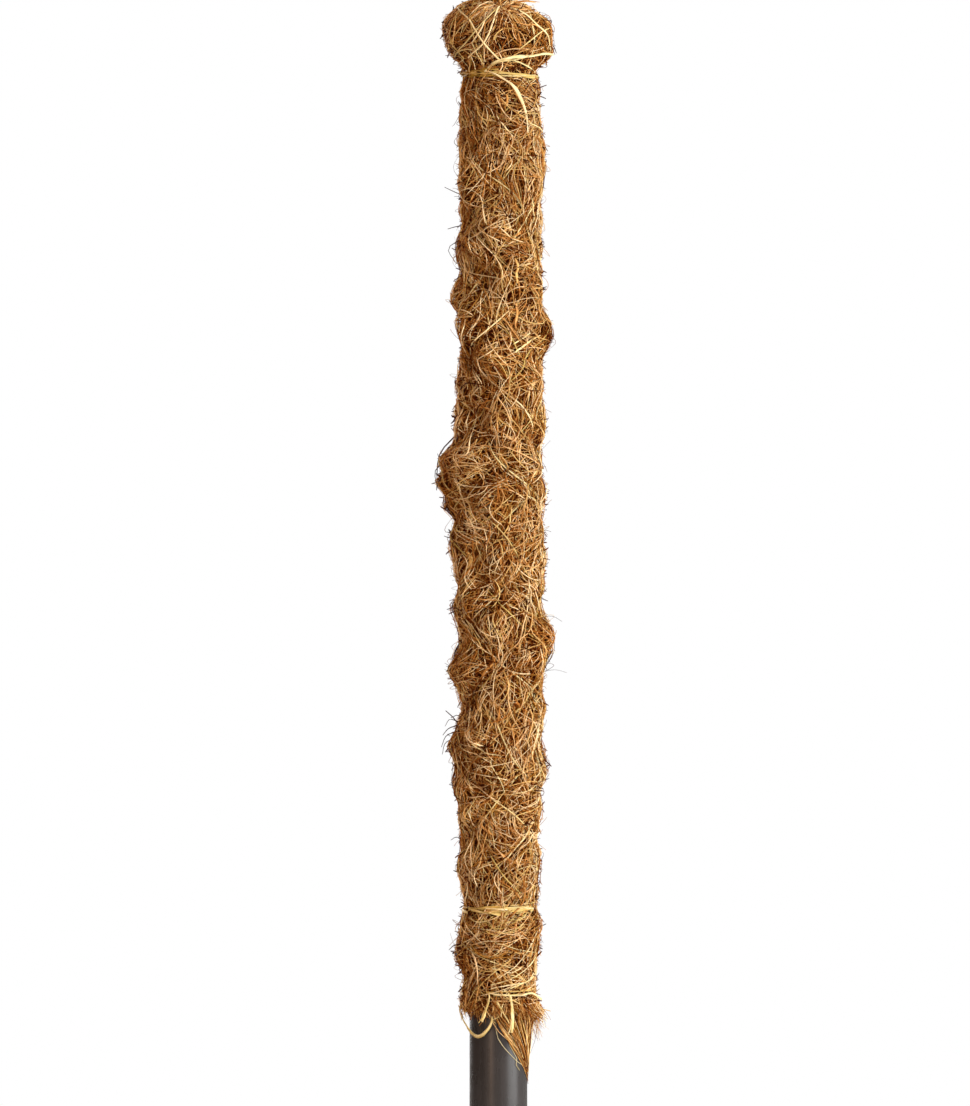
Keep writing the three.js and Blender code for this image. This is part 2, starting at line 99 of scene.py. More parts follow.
# Tufts and hollows of the crown, of the mat's left side and of its right side, each from the top down:
# height, degrees round from the front, how far out, reach along and round
BULGES = (
    (598.5, 2, -1.6, 5, 16), (598.4, 180, -2.6, 8, 70), (598, 110, -1.2, 7, 30), (597, 78, -4.0, 9, 46),
    (594, -88, -1.2, 6, 50), (577, 88, 2.4, 5, 40),
    (562, -88, -1.2, 5, 40), (550, -88, 0.8, 14, 40), (532, -88, -1.0, 5, 40), (520, -88, -0.6, 12, 40),
    (511, -88, -1.0, 5, 40), (494, -88, 2.2, 6, 34), (472, -84, 1.8, 5, 36), (460, -88, -2.0, 5, 40),
    (439, -88, 0.8, 8, 40), (420, -86, 1.0, 6, 36), (403, -84, 9.6, 6, 34), (392, -84, 11.0, 6, 34),
    (383, -86, 7.0, 5, 36), (371, -85, 4.4, 6, 36), (338, -88, 5.0, 7, 36), (313, -85, 5.0, 9, 36),
    (297, -88, -3.0, 7, 40), (279, -86, 5.2, 8, 36), (264, -88, 5.0, 7, 36), (243, -88, -2.4, 9, 40),
    (227, -88, 1.8, 6, 36), (216, -88, -0.8, 4, 40), (189.5, -88, 2.0, 6, 40), (181, -88, -1.6, 4, 40),
    (537, 88, 1.2, 6, 36), (527, 85, 0.8, 6, 36), (487, 88, 1.2, 10, 40), (458, 82, 5.8, 9, 28),
    (445, 88, -1.6, 4, 36), (429, 88, 1.4, 6, 36), (418, 86, 3.8, 6, 36), (405, 88, 1.2, 6, 36),
    (386, 86, 1.8, 5, 36), (367, 86, 1.6, 6, 36), (350, 86, 3.2, 10, 36), (325, 84, 4.6, 11, 34),
    (297, 88, 2.6, 10, 36), (268, 86, 2.6, 8, 36), (243, 88, -1.2, 5, 36), (233, 86, 1.4, 5, 36),
    (217, 88, -1.4, 4, 40), (184, 88, -1.8, 6, 40),
)

# Darker and lighter places in the coir, from the top down: height, degrees, how much darker, reach along
# and round
# Partly the coir's own patches; partly painted shade in hollows and on lit tufts, painted light on shaded
# sides
SHADES = (
    (597, 3, -0.3, 5, 26), (589, -48, 0.15, 6, 14), (588, 45, 0.3, 12, 26), (587, 9, 0.1, 9, 19),
    (577, -38, 0.14, 6, 26), (574, -4, 0.2, 6, 34), (566, -60, 0.12, 6, 40), (550, 8, -0.18, 8, 22),
    (524, 31, -0.22, 7, 13), (523, -20, 0.24, 7, 24), (509, 50, 0.26, 8, 18), (458, 84, 0.3, 8, 30),
    (447, -6, 0.36, 8, 22), (409, -24, 0.24, 7, 16), (390, -60, -0.16, 20, 26), (386, -8, 0.3, 8, 13),
    (380, 38, -0.18, 7, 14), (376, -54, -0.2, 8, 16), (341, -24, 0.34, 7, 18), (294, -18, -0.16, 8, 18),
    (280, -54, -0.16, 9, 16), (256, 12, -0.18, 7, 18), (240, 0, -0.05, 30, 40), (192, 58, 0.22, 14, 50),
    (192, -5, 0.06, 14, 40), (176, -62, 0.13, 10, 40),
)

# Layers of fibres from the inside out: how many tufts and fibres in each, their length, spread and stray,
# height over the surface and its looseness, tone and its mottle, half thickness, share that is combed
# Tone rises from the inside out: the deeper layers are darker, painted shade under the outer fibres
LAYERS = {
    "under": {"tufts": 400, "each": 15, "length": (14, 30), "spread": 3.6, "stray": 0.5, "seat": -1.0,
              "loose": 0.25, "tone": 0.07, "mottle": 0.08, "thick": 0.31, "combed": 0.3},
    "middle": {"tufts": 560, "each": 14, "length": (9, 23), "spread": 3.4, "stray": 0.45, "seat": -0.2,
               "loose": 0.45, "tone": 0.44, "mottle": 0.25, "thick": 0.195, "combed": 0.42},
    "top": {"tufts": 700, "each": 13, "length": (7, 22), "spread": 4.0, "stray": 0.5, "seat": 0.7,
            "loose": 0.45, "tone": 0.74, "mottle": 0.25, "thick": 0.18, "combed": 0.28},
}
CROWN_LAYER = {"combed": 0.2, "mottle": 0.28, "thick": 0.22}
CROWN_SHARE = 7
CROWN_DARKER = 0.06

# Colours by tone, from dark to light, and tints by chance
COIR_STOPS = (
    (0.0, (0.045, 0.005, 0.0005)), (0.2, (0.15, 0.034, 0.0035)), (0.4, (0.35, 0.127, 0.02)),
    (0.6, (0.56, 0.262, 0.07)), (0.8, (0.77, 0.46, 0.175)), (1.0, (0.95, 0.71, 0.4)),
)
COIR_TINTS = (
    (0.0, (1.05, 0.92, 0.82)), (0.35, (1.0, 0.98, 1.03)), (0.65, (1.0, 1.0, 1.0)), (1.0, (0.95, 1.06, 0.9)),
)
STRAW_STOPS = (
    (0.0, (0.15, 0.064, 0.004)), (0.3, (0.34, 0.188, 0.023)), (0.6, (0.57, 0.4, 0.13)),
    (1.0, (0.89, 0.72, 0.43)),
)
STRAW_TINTS = ((0.0, (1.02, 0.97, 0.9)), (0.5, (1.0, 1.0, 1.0)), (1.0, (0.97, 1.03, 1.0)))
GRAIN_STOPS = ((0.3, (0.5, 0.5, 0.5)), (0.65, (1.15, 1.15, 1.15)))
# The mat's dark colours are painted shade for the gaps between the fibres
MAT_STOPS = ((0.3, (0.03, 0.005, 0.0005)), (0.55, (0.08, 0.02, 0.002)), (0.75, (0.16, 0.05, 0.008)))
TUBE_STOPS = ((0.3, (0.019, 0.015, 0.0135)), (0.55, (0.025, 0.02, 0.0185)), (0.75, (0.034, 0.028, 0.027)))
SKY_STOPS = ((0.0, (1.0, 0.66, 0.44)), (0.5, (1.0, 0.94, 0.88)), (1.0, (1.0, 1.0, 1.0)))


# Materials

class Value:
    """A shader socket that takes part in Python arithmetic: each operation adds a Math node."""

    def __init__(self, nodes, socket):
        self.nodes = nodes
        self.socket = socket

    def math(self, operation, first, second):
        return self.nodes.node("ShaderNodeMath", {"operation": operation}, {0: first, 1: second})

    def __add__(self, other):
        return self.math("ADD", self, other)

    def __sub__(self, other):
        return self.math("SUBTRACT", self, other)

    def __rsub__(self, other):
        return self.math("SUBTRACT", other, self)

    def __mul__(self, other):
        return self.math("MULTIPLY", self, other)

    def __truediv__(self, other):
        return self.math("DIVIDE", self, other)

    __radd__ = __add__
    __rmul__ = __mul__


class Nodes:
    """A node tree that grows by one method, with short forms of the nodes that come up often."""

    def __init__(self, tree):
        self.tree = tree

    def node(self, kind, settings=None, inputs=None, output=0):
        made = self.tree.nodes.new(kind)
        for name, value in (settings or {}).items():
            if name == "stops":
                self.set_stops(made.color_ramp, value)
            else:
                setattr(made, name, value)
        for name, value in (inputs or {}).items():
            if isinstance(value, Value):
                self.tree.links.new(value.socket, made.inputs[name])
            else:
                made.inputs[name].default_value = value
        return Value(self, made.outputs[output])

    def set_stops(self, ramp, stops):
        while len(ramp.elements) < len(stops):
            ramp.elements.new(1.0)
        for element, (position, colour) in zip(ramp.elements, stops):
            element.position = position
            element.color = (*colour, 1.0)

    def place(self, kind):
        return self.node("ShaderNodeTexCoord", None, None, kind)

    def part(self, vector, axis):
        return self.node("ShaderNodeSeparateXYZ", None, {0: vector}, axis)

    def noise(self, place, scale, detail):
        return self.node("ShaderNodeTexNoise", None, {"Vector": place, "Scale": scale, "Detail": detail})

    def ramp(self, stops, value):
        return self.node("ShaderNodeValToRGB", {"stops": stops}, {0: value})


class Finish(Nodes):
    """A material that is built up from nodes."""

    def __init__(self, name, **constants):
        self.material = bpy.data.materials.new(name)
        self.material.use_nodes = True
        super().__init__(self.material.node_tree)
        self.shader = self.tree.nodes["Principled BSDF"]
        for socket, value in constants.items():
            self.shader.inputs[socket.replace("_", " ")].default_value = value

    def feed(self, socket, value):
        self.tree.links.new(value.socket, self.shader.inputs[socket])

    def multiply(self, share, first, second):
        settings = {"data_type": "RGBA", "blend_type": "MULTIPLY"}
        return self.node("ShaderNodeMix", settings, {0: share, 6: first, 7: second}, output=2)

    def bump(self, height, strength, distance):
        inputs = {"Strength": strength, "Distance": distance, "Height": height}
        self.feed("Normal", self.node("ShaderNodeBump", None, inputs))


def strand_places(finish):
    """Column, place across and place along of a point on a strand, from the strands' own map."""
    place = finish.node("ShaderNodeUVMap", {"uv_map": "OFBake"})
    across = finish.part(place, "X") * TONES
    along = finish.part(place, "Y")
    column = finish.node("ShaderNodeMath", {"operation": "FLOOR"}, {0: across})
    return column, across - column, along


def streaks(finish, column, across, along, fine, coarse, detail):
    """Noise that is drawn out along the strands and different on each column of them."""
    inputs = {0: across * fine, 1: along * coarse, 2: column * 3.7}
    return finish.noise(finish.node("ShaderNodeCombineXYZ", None, inputs), 1.0, detail)


def strand_finish(name, stops, tints, lines, patches, rough, gloss):
    """Dry plant fibre: a tone and a tint for each strand, patches and fine lines drawn out along it."""
    finish = Finish(name, Specular_IOR_Level=gloss)
    column, across, along = strand_places(finish)
    patch = streaks(finish, column, across, along, 0.6, 10.0, 2.0)
    grain = streaks(finish, column, across, along, 8.0, 6.0, 4.0)
    colour = finish.ramp(stops, column / (TONES - 1) + (patch - 0.5) * patches)
    luck = finish.node("ShaderNodeTexWhiteNoise", {"noise_dimensions": "1D"}, {"W": column + 0.5}, "Value")
    colour = finish.multiply(1.0, colour, finish.ramp(tints, luck))
    finish.feed("Base Color", finish.multiply(lines, colour, finish.ramp(GRAIN_STOPS, grain)))
    finish.feed("Roughness", rough + (grain - 0.5) * 0.2)
    return finish.material


def mat_finish():
    """Matted coir under the fibres, coloured dark as painted shade in the gaps between them."""
    finish = Finish("coir_mat", Roughness=0.95, Specular_IOR_Level=0.02)
    place = finish.place("Object")
    clumps = finish.noise(place, 260.0, 5.0)
    threads = finish.noise(place, 1500.0, 3.0)
    finish.feed("Base Color", finish.ramp(MAT_STOPS, clumps * 0.6 + threads * 0.4))
    finish.bump(clumps + threads * 0.5, 0.8, 0.001)
    return finish.material


def tube_finish():
    """Dark plastic with fine lines drawn out along the tube, and smears."""
    finish = Finish("tube_plastic", Specular_IOR_Level=0.45)
    place = finish.place("Object")
    drawn = finish.node("ShaderNodeMapping", None, {"Vector": place, "Scale": (1.0, 1.0, 0.02)})
    lines = finish.noise(drawn, 420.0, 3.0)
    smears = finish.noise(place, 90.0, 5.0)
    finish.feed("Base Color", finish.ramp(TUBE_STOPS, lines * 0.6 + smears * 0.4))
    finish.feed("Roughness", 0.2 + lines * 0.08 + smears * 0.08)
    finish.bump(lines, 0.08, 0.0002)
    return finish.material


def floor_finish():
    """Pale card that fades out to the white round it."""
    finish = Finish("studio_floor", Roughness=0.9, Base_Color=(0.86, 0.86, 0.86, 1.0))
    far = finish.node("ShaderNodeVectorMath", {"operation": "LENGTH"}, {0: finish.place("Object")}, "Value")
    fade = {0: far, 1: 0.25, 2: 0.58, 3: 1.0, 4: 0.0}
    finish.feed("Alpha", finish.node("ShaderNodeMapRange", None, fade))
    return finish.material


# The coir's surface

def smooth(t):
    """Eases from 0 to 1."""
    t = np.clip(t, 0.0, 1.0)
    return t * t * (3.0 - 2.0 * t)


def wrap(a):
    """The same angle within half a turn of the front."""
    return (a + math.pi) % math.tau - math.pi


def soften(line, rounds):
    """Draws the inner points of a line in to their neighbours."""
    for _ in range(rounds):
        line[1:-1] = (line[:-2] + line[1:-1] * 2 + line[2:]) / 4


def run_along(line):
    """Distance of each point of a line from its start."""
    return np.concatenate(([0.0], np.cumsum(np.linalg.norm(np.diff(line, axis=0), axis=1))))


def points_at(line, length, places):
    """Points of a line at some distances from its start."""
    return np.stack([np.interp(places, length, column) for column in line.T], 1)


def mat_outline(z):
    """Mean radius of the wrapped mat at a height: drawn in under each tie."""
    full = np.where(z > LOWER_TIE_Z, MAT_RADIUS, np.where(z > BOTTOM_TIE_Z, BAND_RADIUS, HEM_RADIUS))
    for tie, waist in ((BOTTOM_TIE_Z, BOTTOM_WAIST), (LOWER_TIE_Z, LOWER_WAIST), (NECK_Z, NECK_WAIST)):
        full = waist + (full - waist) * smooth((np.abs(z - tie) - TIE_HALF) / WAIST_REACH)
    return full


def meridian():
    """The coir's outline from below the hem to the middle of the dimple, at even steps of its length."""
    z = np.arange(HEM_Z - 4.0, CROWN_FOOT_Z, 1.0)
    pieces = [(mat_outline(z), z)]
    t = np.linspace(0.0, 1.0, 24)
    swell = np.sin(t * math.pi / 2) ** 1.3
    radius = NECK_WAIST + (CROWN_RADIUS - NECK_WAIST) * swell
    pieces.append((radius, CROWN_FOOT_Z + (CROWN_WIDEST_Z - CROWN_FOOT_Z) * t))
    turn = np.linspace(0.0, math.pi / 2, 24)[1:]
    radius = DIMPLE_RADIUS + (CROWN_RADIUS - DIMPLE_RADIUS) * np.cos(turn) ** 0.8
    pieces.append((radius, CROWN_WIDEST_Z + (CROWN_RIM_Z - CROWN_WIDEST_Z) * np.sin(turn) ** 0.8))
    t = np.linspace(0.0, 1.0, 12)[1:]
    pieces.append((DIMPLE_RADIUS * (1 - t), CROWN_RIM_Z - DIMPLE_DEPTH * smooth(t)))
    line = np.concatenate([np.stack(piece, 1) for piece in pieces])
    length = run_along(line)
    even = np.arange(0.0, length[-1], 0.5)
    line = points_at(line, length, even)
    along = np.gradient(line, axis=0)
    soften(along, 6)
    along /= np.linalg.norm(along, axis=1, keepdims=True)
    return even, line[:, 0], line[:, 1], along[:, 1], -along[:, 0]


COURSE, COURSE_R, COURSE_Z, COURSE_OUT, COURSE_UP = meridian()
COURSE_END = COURSE[-1]
RISING = int(np.argmax(COURSE_Z)) + 1


def radius_at(s):
    """Mean radius of the coir at a distance along its outline."""
    return np.interp(s, COURSE, COURSE_R)


def height_at(s):
    """Height of the coir's mean outline at a distance along it."""
    return np.interp(s, COURSE, COURSE_Z)


def course_of(z):
    """Distance along the outline of a height, up to the crown's rim."""
    return np.interp(z, COURSE_Z[:RISING], COURSE[:RISING])


NECK_S = float(course_of(NECK_Z))


def ripples(seed, count, round_most, shortest, longest):
    """Even waves of unit size round and along the pole."""
    dice = np.random.default_rng(seed)
    rounds = dice.integers(-round_most, round_most + 1, count)
    rate = math.tau / dice.uniform(shortest, longest, count) * dice.choice((-1, 1), count)
    phase = dice.uniform(0, math.tau, count)

    def height(a, s):
        waves = np.cos(rounds * a[..., None] + rate * s[..., None] + phase)
        return waves.sum(-1) / math.sqrt(count / 2)
    return height


broad_waves = ripples(3, 10, 3, 30, 90)
small_waves = ripples(4, 14, 7, 8, 22)
warp_waves = ripples(5, 8, 2, 40, 120)


def lattice(a, s):
    """Place among the threads: the first is whole on right-hand threads, the second on left-hand ones."""
    warp = COLUMN_WARP * warp_waves(a, s)
    column = a / math.tau * QUILT_COLUMNS - FIRST_COLUMN + warp
    row = (height_at(s) - QUILT_START_Z) / QUILT_LENGTH * QUILT_ROWS + warp * ROW_WARP
    return (column - row) / CELL_STEPS, (column + row) / CELL_STEPS


def quilting(a, s):
    """Share of a lump's height between the threads (0 on a thread), and where the pole has threads."""
    one_way, other_way = lattice(a, s)
    z = height_at(s)
    quilted = smooth((z - LOWER_TIE_Z - 2) / 9) * smooth((NECK_Z - 2 - z) / 9) * (s < NECK_S)
    return np.abs(np.sin(math.pi * one_way) * np.sin(math.pi * other_way)) ** 0.5, quilted


def lump_heading(a, s):
    """Heading of fibres that bow out from the crossing above a lump and meet again at the one below it."""
    one_way, other_way = (place - np.floor(place) for place in lattice(a, s))
    up = np.clip((other_way - one_way + 1) / 2, 0.08, 0.92)
    across = one_way + other_way - 1
    return np.arctan2(1.0, across * math.pi / np.tan(math.pi * up) / 2)


def gather_heading(a, s):
    """Heading over the crown to the gather on its front rim."""
    radius = radius_at(s)
    inward, rise = np.interp(s, COURSE, COURSE_UP), np.interp(s, COURSE, COURSE_OUT)
    east = GATHER_RIGHT - radius * np.sin(a)
    south = GATHER_FRONT - radius * np.cos(a)
    along = -inward * (east * np.sin(a) + south * np.cos(a)) + rise * (TOP_Z - 2.6 - height_at(s))
    return np.arctan2(along, east * np.cos(a) - south * np.sin(a))


def spots(places, a, s):
    """Sum of round spots: height, degrees, size, reach along and reach round for each."""
    total = np.zeros_like(a)
    for height, degrees, size, reach, spread in places:
        turn = wrap(a - math.radians(degrees))
        away = (s - course_of(height)) / reach
        total += size * np.exp(-(away**2) - (turn / math.radians(spread)) ** 2)
    return total


def darkness(a, s):
    """How much darker the coir is: on tufts that stand out, at the sides as painted shade, and at the named
    shades.
    """
    across = np.sin(a)
    # Painted shade towards the left side and at the right rim, with slight painted light on the right face
    side = np.where(across < 0, 0.1 * across**4, 0.17 * across**12 - 0.03 * across**4)
    tuft = smooth((spots(BULGES, a, s) - 1.0) / 4.0)
    return spots(SHADES, a, s) + 0.2 * (s < NECK_S) * tuft + side


def swelling(a, s):
    """How far the coir stands out of its mean outline, at an angle from the front and a distance along."""
    on_mat = s < NECK_S
    lump, quilted = quilting(a, s)
    side = np.abs(wrap(a))
    fade = math.radians(30)
    edge = smooth((side - math.radians(50)) / fade) * smooth((math.radians(130) - side) / fade)
    lump = lump * (0.85 + 0.36 * broad_waves(a, s)) * (1 - 0.7 * edge)
    out = quilted * (LUMP_HEIGHT * lump - 1.5) + on_mat * LEAN * np.sin(a)
    out = out + spots(BULGES, a, s)
    on_crown = smooth((s - NECK_S - 4) / 6) * 0.6 * smooth((COURSE_END - s) / 8)
    loose = np.where(on_mat, 0.25 + 0.75 * quilted, on_crown)
    return out + loose * (0.45 * small_waves(a, s) + 0.5 * broad_waves(a, s))


def round_pole(radius, a, z):
    """Points at a radius, an angle from the front and a height."""
    return np.stack(np.broadcast_arrays(radius * np.sin(a), -radius * np.cos(a), z), -1)


def on_coir(a, s, out):
    """Points at a height out of the coir's surface."""
    far = swelling(a, s) + out
    radius = np.maximum(radius_at(s) + np.interp(s, COURSE, COURSE_OUT) * far, 0.0)
    return round_pole(radius, a, height_at(s) + np.interp(s, COURSE, COURSE_UP) * far)


# Strands: one is modelled by hand, and the others are copies of it laid along their own paths

def select_none():
    """Leaves edit mode and selects nothing."""
    if bpy.context.object and bpy.context.object.mode != "OBJECT":
        bpy.ops.object.mode_set(mode="OBJECT")
    bpy.ops.object.select_all(action="DESELECT")


def fit_out(piece, material, node=None):
    """Gives a piece its material, its body and the solid that it stands for."""
    piece.data.materials.append(material)
    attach(piece, "root")
    if node:
        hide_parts(node)


def model_strand(sides, steps):
    """A straight strand of unit length: a small polygon that is extruded step by step."""
    select_none()
    bpy.ops.mesh.primitive_circle_add(vertices=sides, radius=1.0, fill_type="NGON")
    bpy.ops.object.mode_set(mode="EDIT")
    for _ in range(steps):
        bpy.ops.mesh.extrude_region_move(TRANSFORM_OT_translate={"value": (0, 0, 1.0 / steps)})
    bpy.ops.mesh.select_all(action="SELECT")
    bpy.ops.mesh.normals_make_consistent(inside=False)
    bpy.ops.object.mode_set(mode="OBJECT")
    strand = bpy.context.object
    mesh = strand.data
    at = np.array([v.co for v in mesh.vertices])
    turn = np.arctan2(at[:, 1], at[:, 0])
    corner = np.round((turn - turn[0]) / math.tau * sides).astype(int) % sides
    ring = np.round(at[:, 2] * steps).astype(int)
    number = ring * sides + corner
    starts, corners, places = [], [], []
    for face in sorted([number[v] for v in face.vertices] for face in mesh.polygons):
        starts.append(len(corners))
        corners.extend(face)
        wraps = {0, sides - 1} <= {v % sides for v in face}
        cap = len({v // sides for v in face}) == 1
        for v in face:
            along, step = v // sides / steps, v % sides
            if cap:
                turn = math.tau * step / sides
                places.append((0.5 + 0.4 * math.cos(turn), along * 0.97 + 0.015 + 0.012 * math.sin(turn)))
            else:
                places.append(((sides if wraps and step == 0 else step) / sides, along))
    order = np.argsort(number)
    bpy.data.objects.remove(strand)
    bpy.data.meshes.remove(mesh)
    return {
        "direction": at[order, :2], "ring": ring[order], "starts": np.array(starts),
        "corners": np.array(corners), "places": np.array(places),
    }


def outward(points):
    """Direction away from the pole's axis, and away from the crown's middle near the top."""
    middle = np.zeros_like(points)
    middle[..., 2] = np.minimum(points[..., 2], CROWN_WIDEST_Z - 8)
    away = points - middle
    return away / np.maximum(np.linalg.norm(away, axis=-1, keepdims=True), 1e-6)


def lay_strands(name, pattern, paths, widths, depths, tones, material, node=None, twist=None):
    """Copies of the strand along paths (strand, step, xyz), with half widths and depths at each step."""
    count = len(paths)
    along = np.gradient(paths, axis=1)
    along /= np.maximum(np.linalg.norm(along, axis=-1, keepdims=True), 1e-9)
    up = outward(paths)
    side = np.cross(up, along)
    side /= np.maximum(np.linalg.norm(side, axis=-1, keepdims=True), 1e-9)
    up = np.cross(along, side)
    if twist is not None:
        cos, sin = np.cos(twist)[..., None], np.sin(twist)[..., None]
        side, up = side * cos + up * sin, up * cos - side * sin
    ring, direction = pattern["ring"], pattern["direction"]
    points = (
        paths[:, ring]
        + side[:, ring] * (direction[:, 0] * widths[:, ring])[..., None]
        + up[:, ring] * (direction[:, 1] * depths[:, ring])[..., None]
    )
    size, loops, faces = len(ring), len(pattern["corners"]), len(pattern["starts"])
    copy = np.arange(count)[:, None]
    corners = (pattern["corners"] + copy * size).astype(np.int32)
    starts = (pattern["starts"] + copy * loops).astype(np.int32)
    columns = np.clip((tones * TONES).astype(int), 0, TONES - 1)
    places = np.empty((count, loops, 2), np.float32)
    places[..., 0] = (columns[:, None] + 0.1 + 0.8 * pattern["places"][:, 0]) / TONES
    places[..., 1] = 0.01 + 0.98 * pattern["places"][:, 1]
    mesh = bpy.data.meshes.new(name)
    mesh.vertices.add(count * size)
    mesh.vertices.foreach_set("co", (points * MM).astype(np.float32).ravel())
    mesh.loops.add(count * loops)
    mesh.loops.foreach_set("vertex_index", corners.ravel())
    mesh.polygons.add(count * faces)
    mesh.polygons.foreach_set("loop_start", starts.ravel())
    mesh.uv_layers.new(name="OFBake").data.foreach_set("uv", places.ravel())
    mesh.update(calc_edges=True)
    mesh.validate()
    piece = bpy.data.objects.new(name, mesh)
    bpy.context.scene.collection.objects.link(piece)
    select_none()
    piece.select_set(True)
    bpy.context.view_layer.objects.active = piece
    bpy.ops.object.shade_smooth()
    fit_out(piece, material, node)
    return piece


def march(a, s, way_at, length, curl, dice, wave=0.0):
    """Angles and distances of fibres over the coir, laid both ways from their middles."""
    step = length / (FIBRE_STEPS - 1)
    phase = dice.uniform(0, math.tau, len(a))
    halves = []
    for hand in (-1, 1):
        at_a, at_s = a, s
        half = []
        for k in range(FIBRE_MIDDLE):
            t = hand * k / FIBRE_STEPS
            way = way_at(at_a, at_s) + curl * t + wave * np.sin(phase + 5.0 * t)
            far = hand * step * (1.0 if k else 0.5)
            at_a = at_a + np.cos(way) * far / np.maximum(radius_at(at_s), 4.0)
            at_s = np.clip(at_s + np.sin(way) * far, 0.0, COURSE_END - 4.0)
            half.append((at_a, at_s))
        halves.append(half)
    return np.array(halves[0][::-1] + halves[1]).transpose(1, 2, 0)


def tufts(seed, layer, low, high, combed):
    """Fibres in tufts, spread evenly: each tuft has its own heading, bend and tone, and some are combed."""
    dice = np.random.default_rng(seed)
    count = layer["tufts"]
    order = np.arange(count)
    tuft_a = (order * GOLDEN_ANGLE + dice.normal(0, 0.12, count)) % math.tau - math.pi
    tuft_s = low + (high - low) * (order + dice.uniform(0, 1, count)) / count
    quilted = quilting(tuft_a, tuft_s)[1]
    follows = dice.random(count) < layer["combed"] * np.where(tuft_s > NECK_S, 1.0, quilted)
    loose = np.where(quilted > 0.1, dice.uniform(0, math.pi, count), dice.normal(0, 0.8, count))
    heading = np.where(follows, dice.normal(0, 0.22, count), loose)
    bend = dice.normal(0, FIBRE_CURL * 0.6, count)
    size = dice.uniform(*layer["length"], count)
    tuft_tone = dice.normal(layer["tone"], layer["mottle"] * 0.2, count)
    which = np.repeat(order, layer["each"])
    total = len(which)
    east, north = dice.normal(0, layer["spread"], (2, total))
    a = tuft_a[which] + east / np.maximum(radius_at(tuft_s[which]), 5.0)
    s = tuft_s[which] + north
    follows = follows[which]
    tame = np.where(follows, 0.45, 1.0)
    way = heading[which] + dice.normal(0, layer["stray"], total) * tame
    long = size[which] * dice.uniform(0.6, 1.3, total)
    curl = (bend[which] + dice.normal(0, FIBRE_CURL, total)) * tame

    def way_at(at_a, at_s):
        return way + np.where(follows, combed(at_a, at_s), 0.0)

    a, s = march(a, s, way_at, long, curl, dice, dice.uniform(0.0, 0.4, total))
    seat = dice.normal(layer["seat"], layer["loose"], total)
    arch = dice.uniform(0.1, 1.0, total)
    t = np.linspace(-1, 1, FIBRE_STEPS)
    out = np.clip(seat[:, None] + arch[:, None] * (0.45 - t**2), -1.4, 2.2)
    paths = on_coir(a, s, out)
    thick = dice.gamma(9.0, layer["thick"] / 9.0, total).clip(0.11, 0.5)
    widths = thick[:, None] * FIBRE_TAPER
    depths = widths * dice.uniform(0.6, 1.0, total)[:, None]
    a, s = a[:, FIBRE_MIDDLE], s[:, FIBRE_MIDDLE]
    lump, quilted = quilting(a, s)
    # Tones spread wider towards the left side: painted shade contrast on the side away from the key lamp
    mottle = layer["mottle"] * (1 + 0.3 * smooth(0.2 - 2 * np.sin(a)))
    # Darker in the seams between lumps and lighter on their tops: painted shade and painted light
    tones = tuft_tone[which] + dice.normal(0, 1, total) * mottle - 0.3 * quilted * (0.62 - lump)
    return paths, widths, depths, tones - darkness(a, s)


def lay_fibres(name, pattern, fibres, material):
    """Lays fibres as one piece, or as several where they are many."""
    paths, widths, depths, tones = fibres
    shares = math.ceil(len(paths) / FIBRES_IN_A_PIECE)
    for k in range(shares):
        part = slice(k, None, shares)
        label = name if shares == 1 else f"{name}_{k + 1}"
        lay_strands(label, pattern, paths[part], widths[part], depths[part], tones[part], material)


# Tube

def make_tube(material):
    """The bare plastic tube, with its bore and its rounded ends."""
    select_none()
    low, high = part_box("core_tube")
    depth = high.z - low.z
    bpy.ops.mesh.primitive_cylinder_add(
        vertices=96, radius=TUBE_RADIUS * MM, depth=depth, end_fill_type="NOTHING", location=(0, 0, depth / 2)
    )
    tube = bpy.context.object
    tube.name = "plastic_tube"
    bpy.ops.object.transform_apply(location=True)
    wall = tube.modifiers.new("wall", "SOLIDIFY")
    wall.thickness = TUBE_WALL * MM
    wall.offset = -1.0
    rim = tube.modifiers.new("rim", "BEVEL")
    rim.width = TUBE_BEVEL * MM
    rim.segments = 3
    rim.limit_method = "ANGLE"
    for modifier in ("wall", "rim"):
        bpy.ops.object.modifier_apply(modifier=modifier)
    bpy.ops.object.shade_smooth_by_angle(angle=math.radians(35))
    fit_out(tube, material, "core_tube")


# Mat under the fibres

def make_mat(name, low, high, rows, node, material):
    """A closed, lumpy sleeve under the fibres: a grid rolled round the pole, its ends bridged inside."""
    select_none()
    bpy.ops.mesh.primitive_grid_add(x_subdivisions=96, y_subdivisions=rows, size=1.0)
    mat = bpy.context.object
    mat.name = name
    at = np.array([v.co for v in mat.data.vertices])
    a = (at[:, 0] + 0.5) * math.tau - math.pi
    s = low + (at[:, 1] + 0.5) * (high - low)
    mat.data.vertices.foreach_set("co", (on_coir(a, s, -MAT_DEPTH) * MM).astype(np.float32).ravel())
    bpy.ops.object.mode_set(mode="EDIT")
    bpy.ops.mesh.select_all(action="SELECT")
    bpy.ops.mesh.remove_doubles(threshold=1e-6)
    bpy.ops.mesh.select_all(action="DESELECT")
    bpy.ops.mesh.select_non_manifold()
    bpy.ops.mesh.bridge_edge_loops()
    bpy.ops.mesh.select_all(action="SELECT")
    bpy.ops.mesh.normals_make_consistent(inside=False)
    bpy.ops.object.mode_set(mode="OBJECT")
    bpy.ops.object.shade_smooth()
    fit_out(mat, material, node)


# Threads, lashings and ties

THREAD_STEPS = 241
LASHING_STEPS = 61
TIE_STEPS = 97
LOOP_STEPS = 41

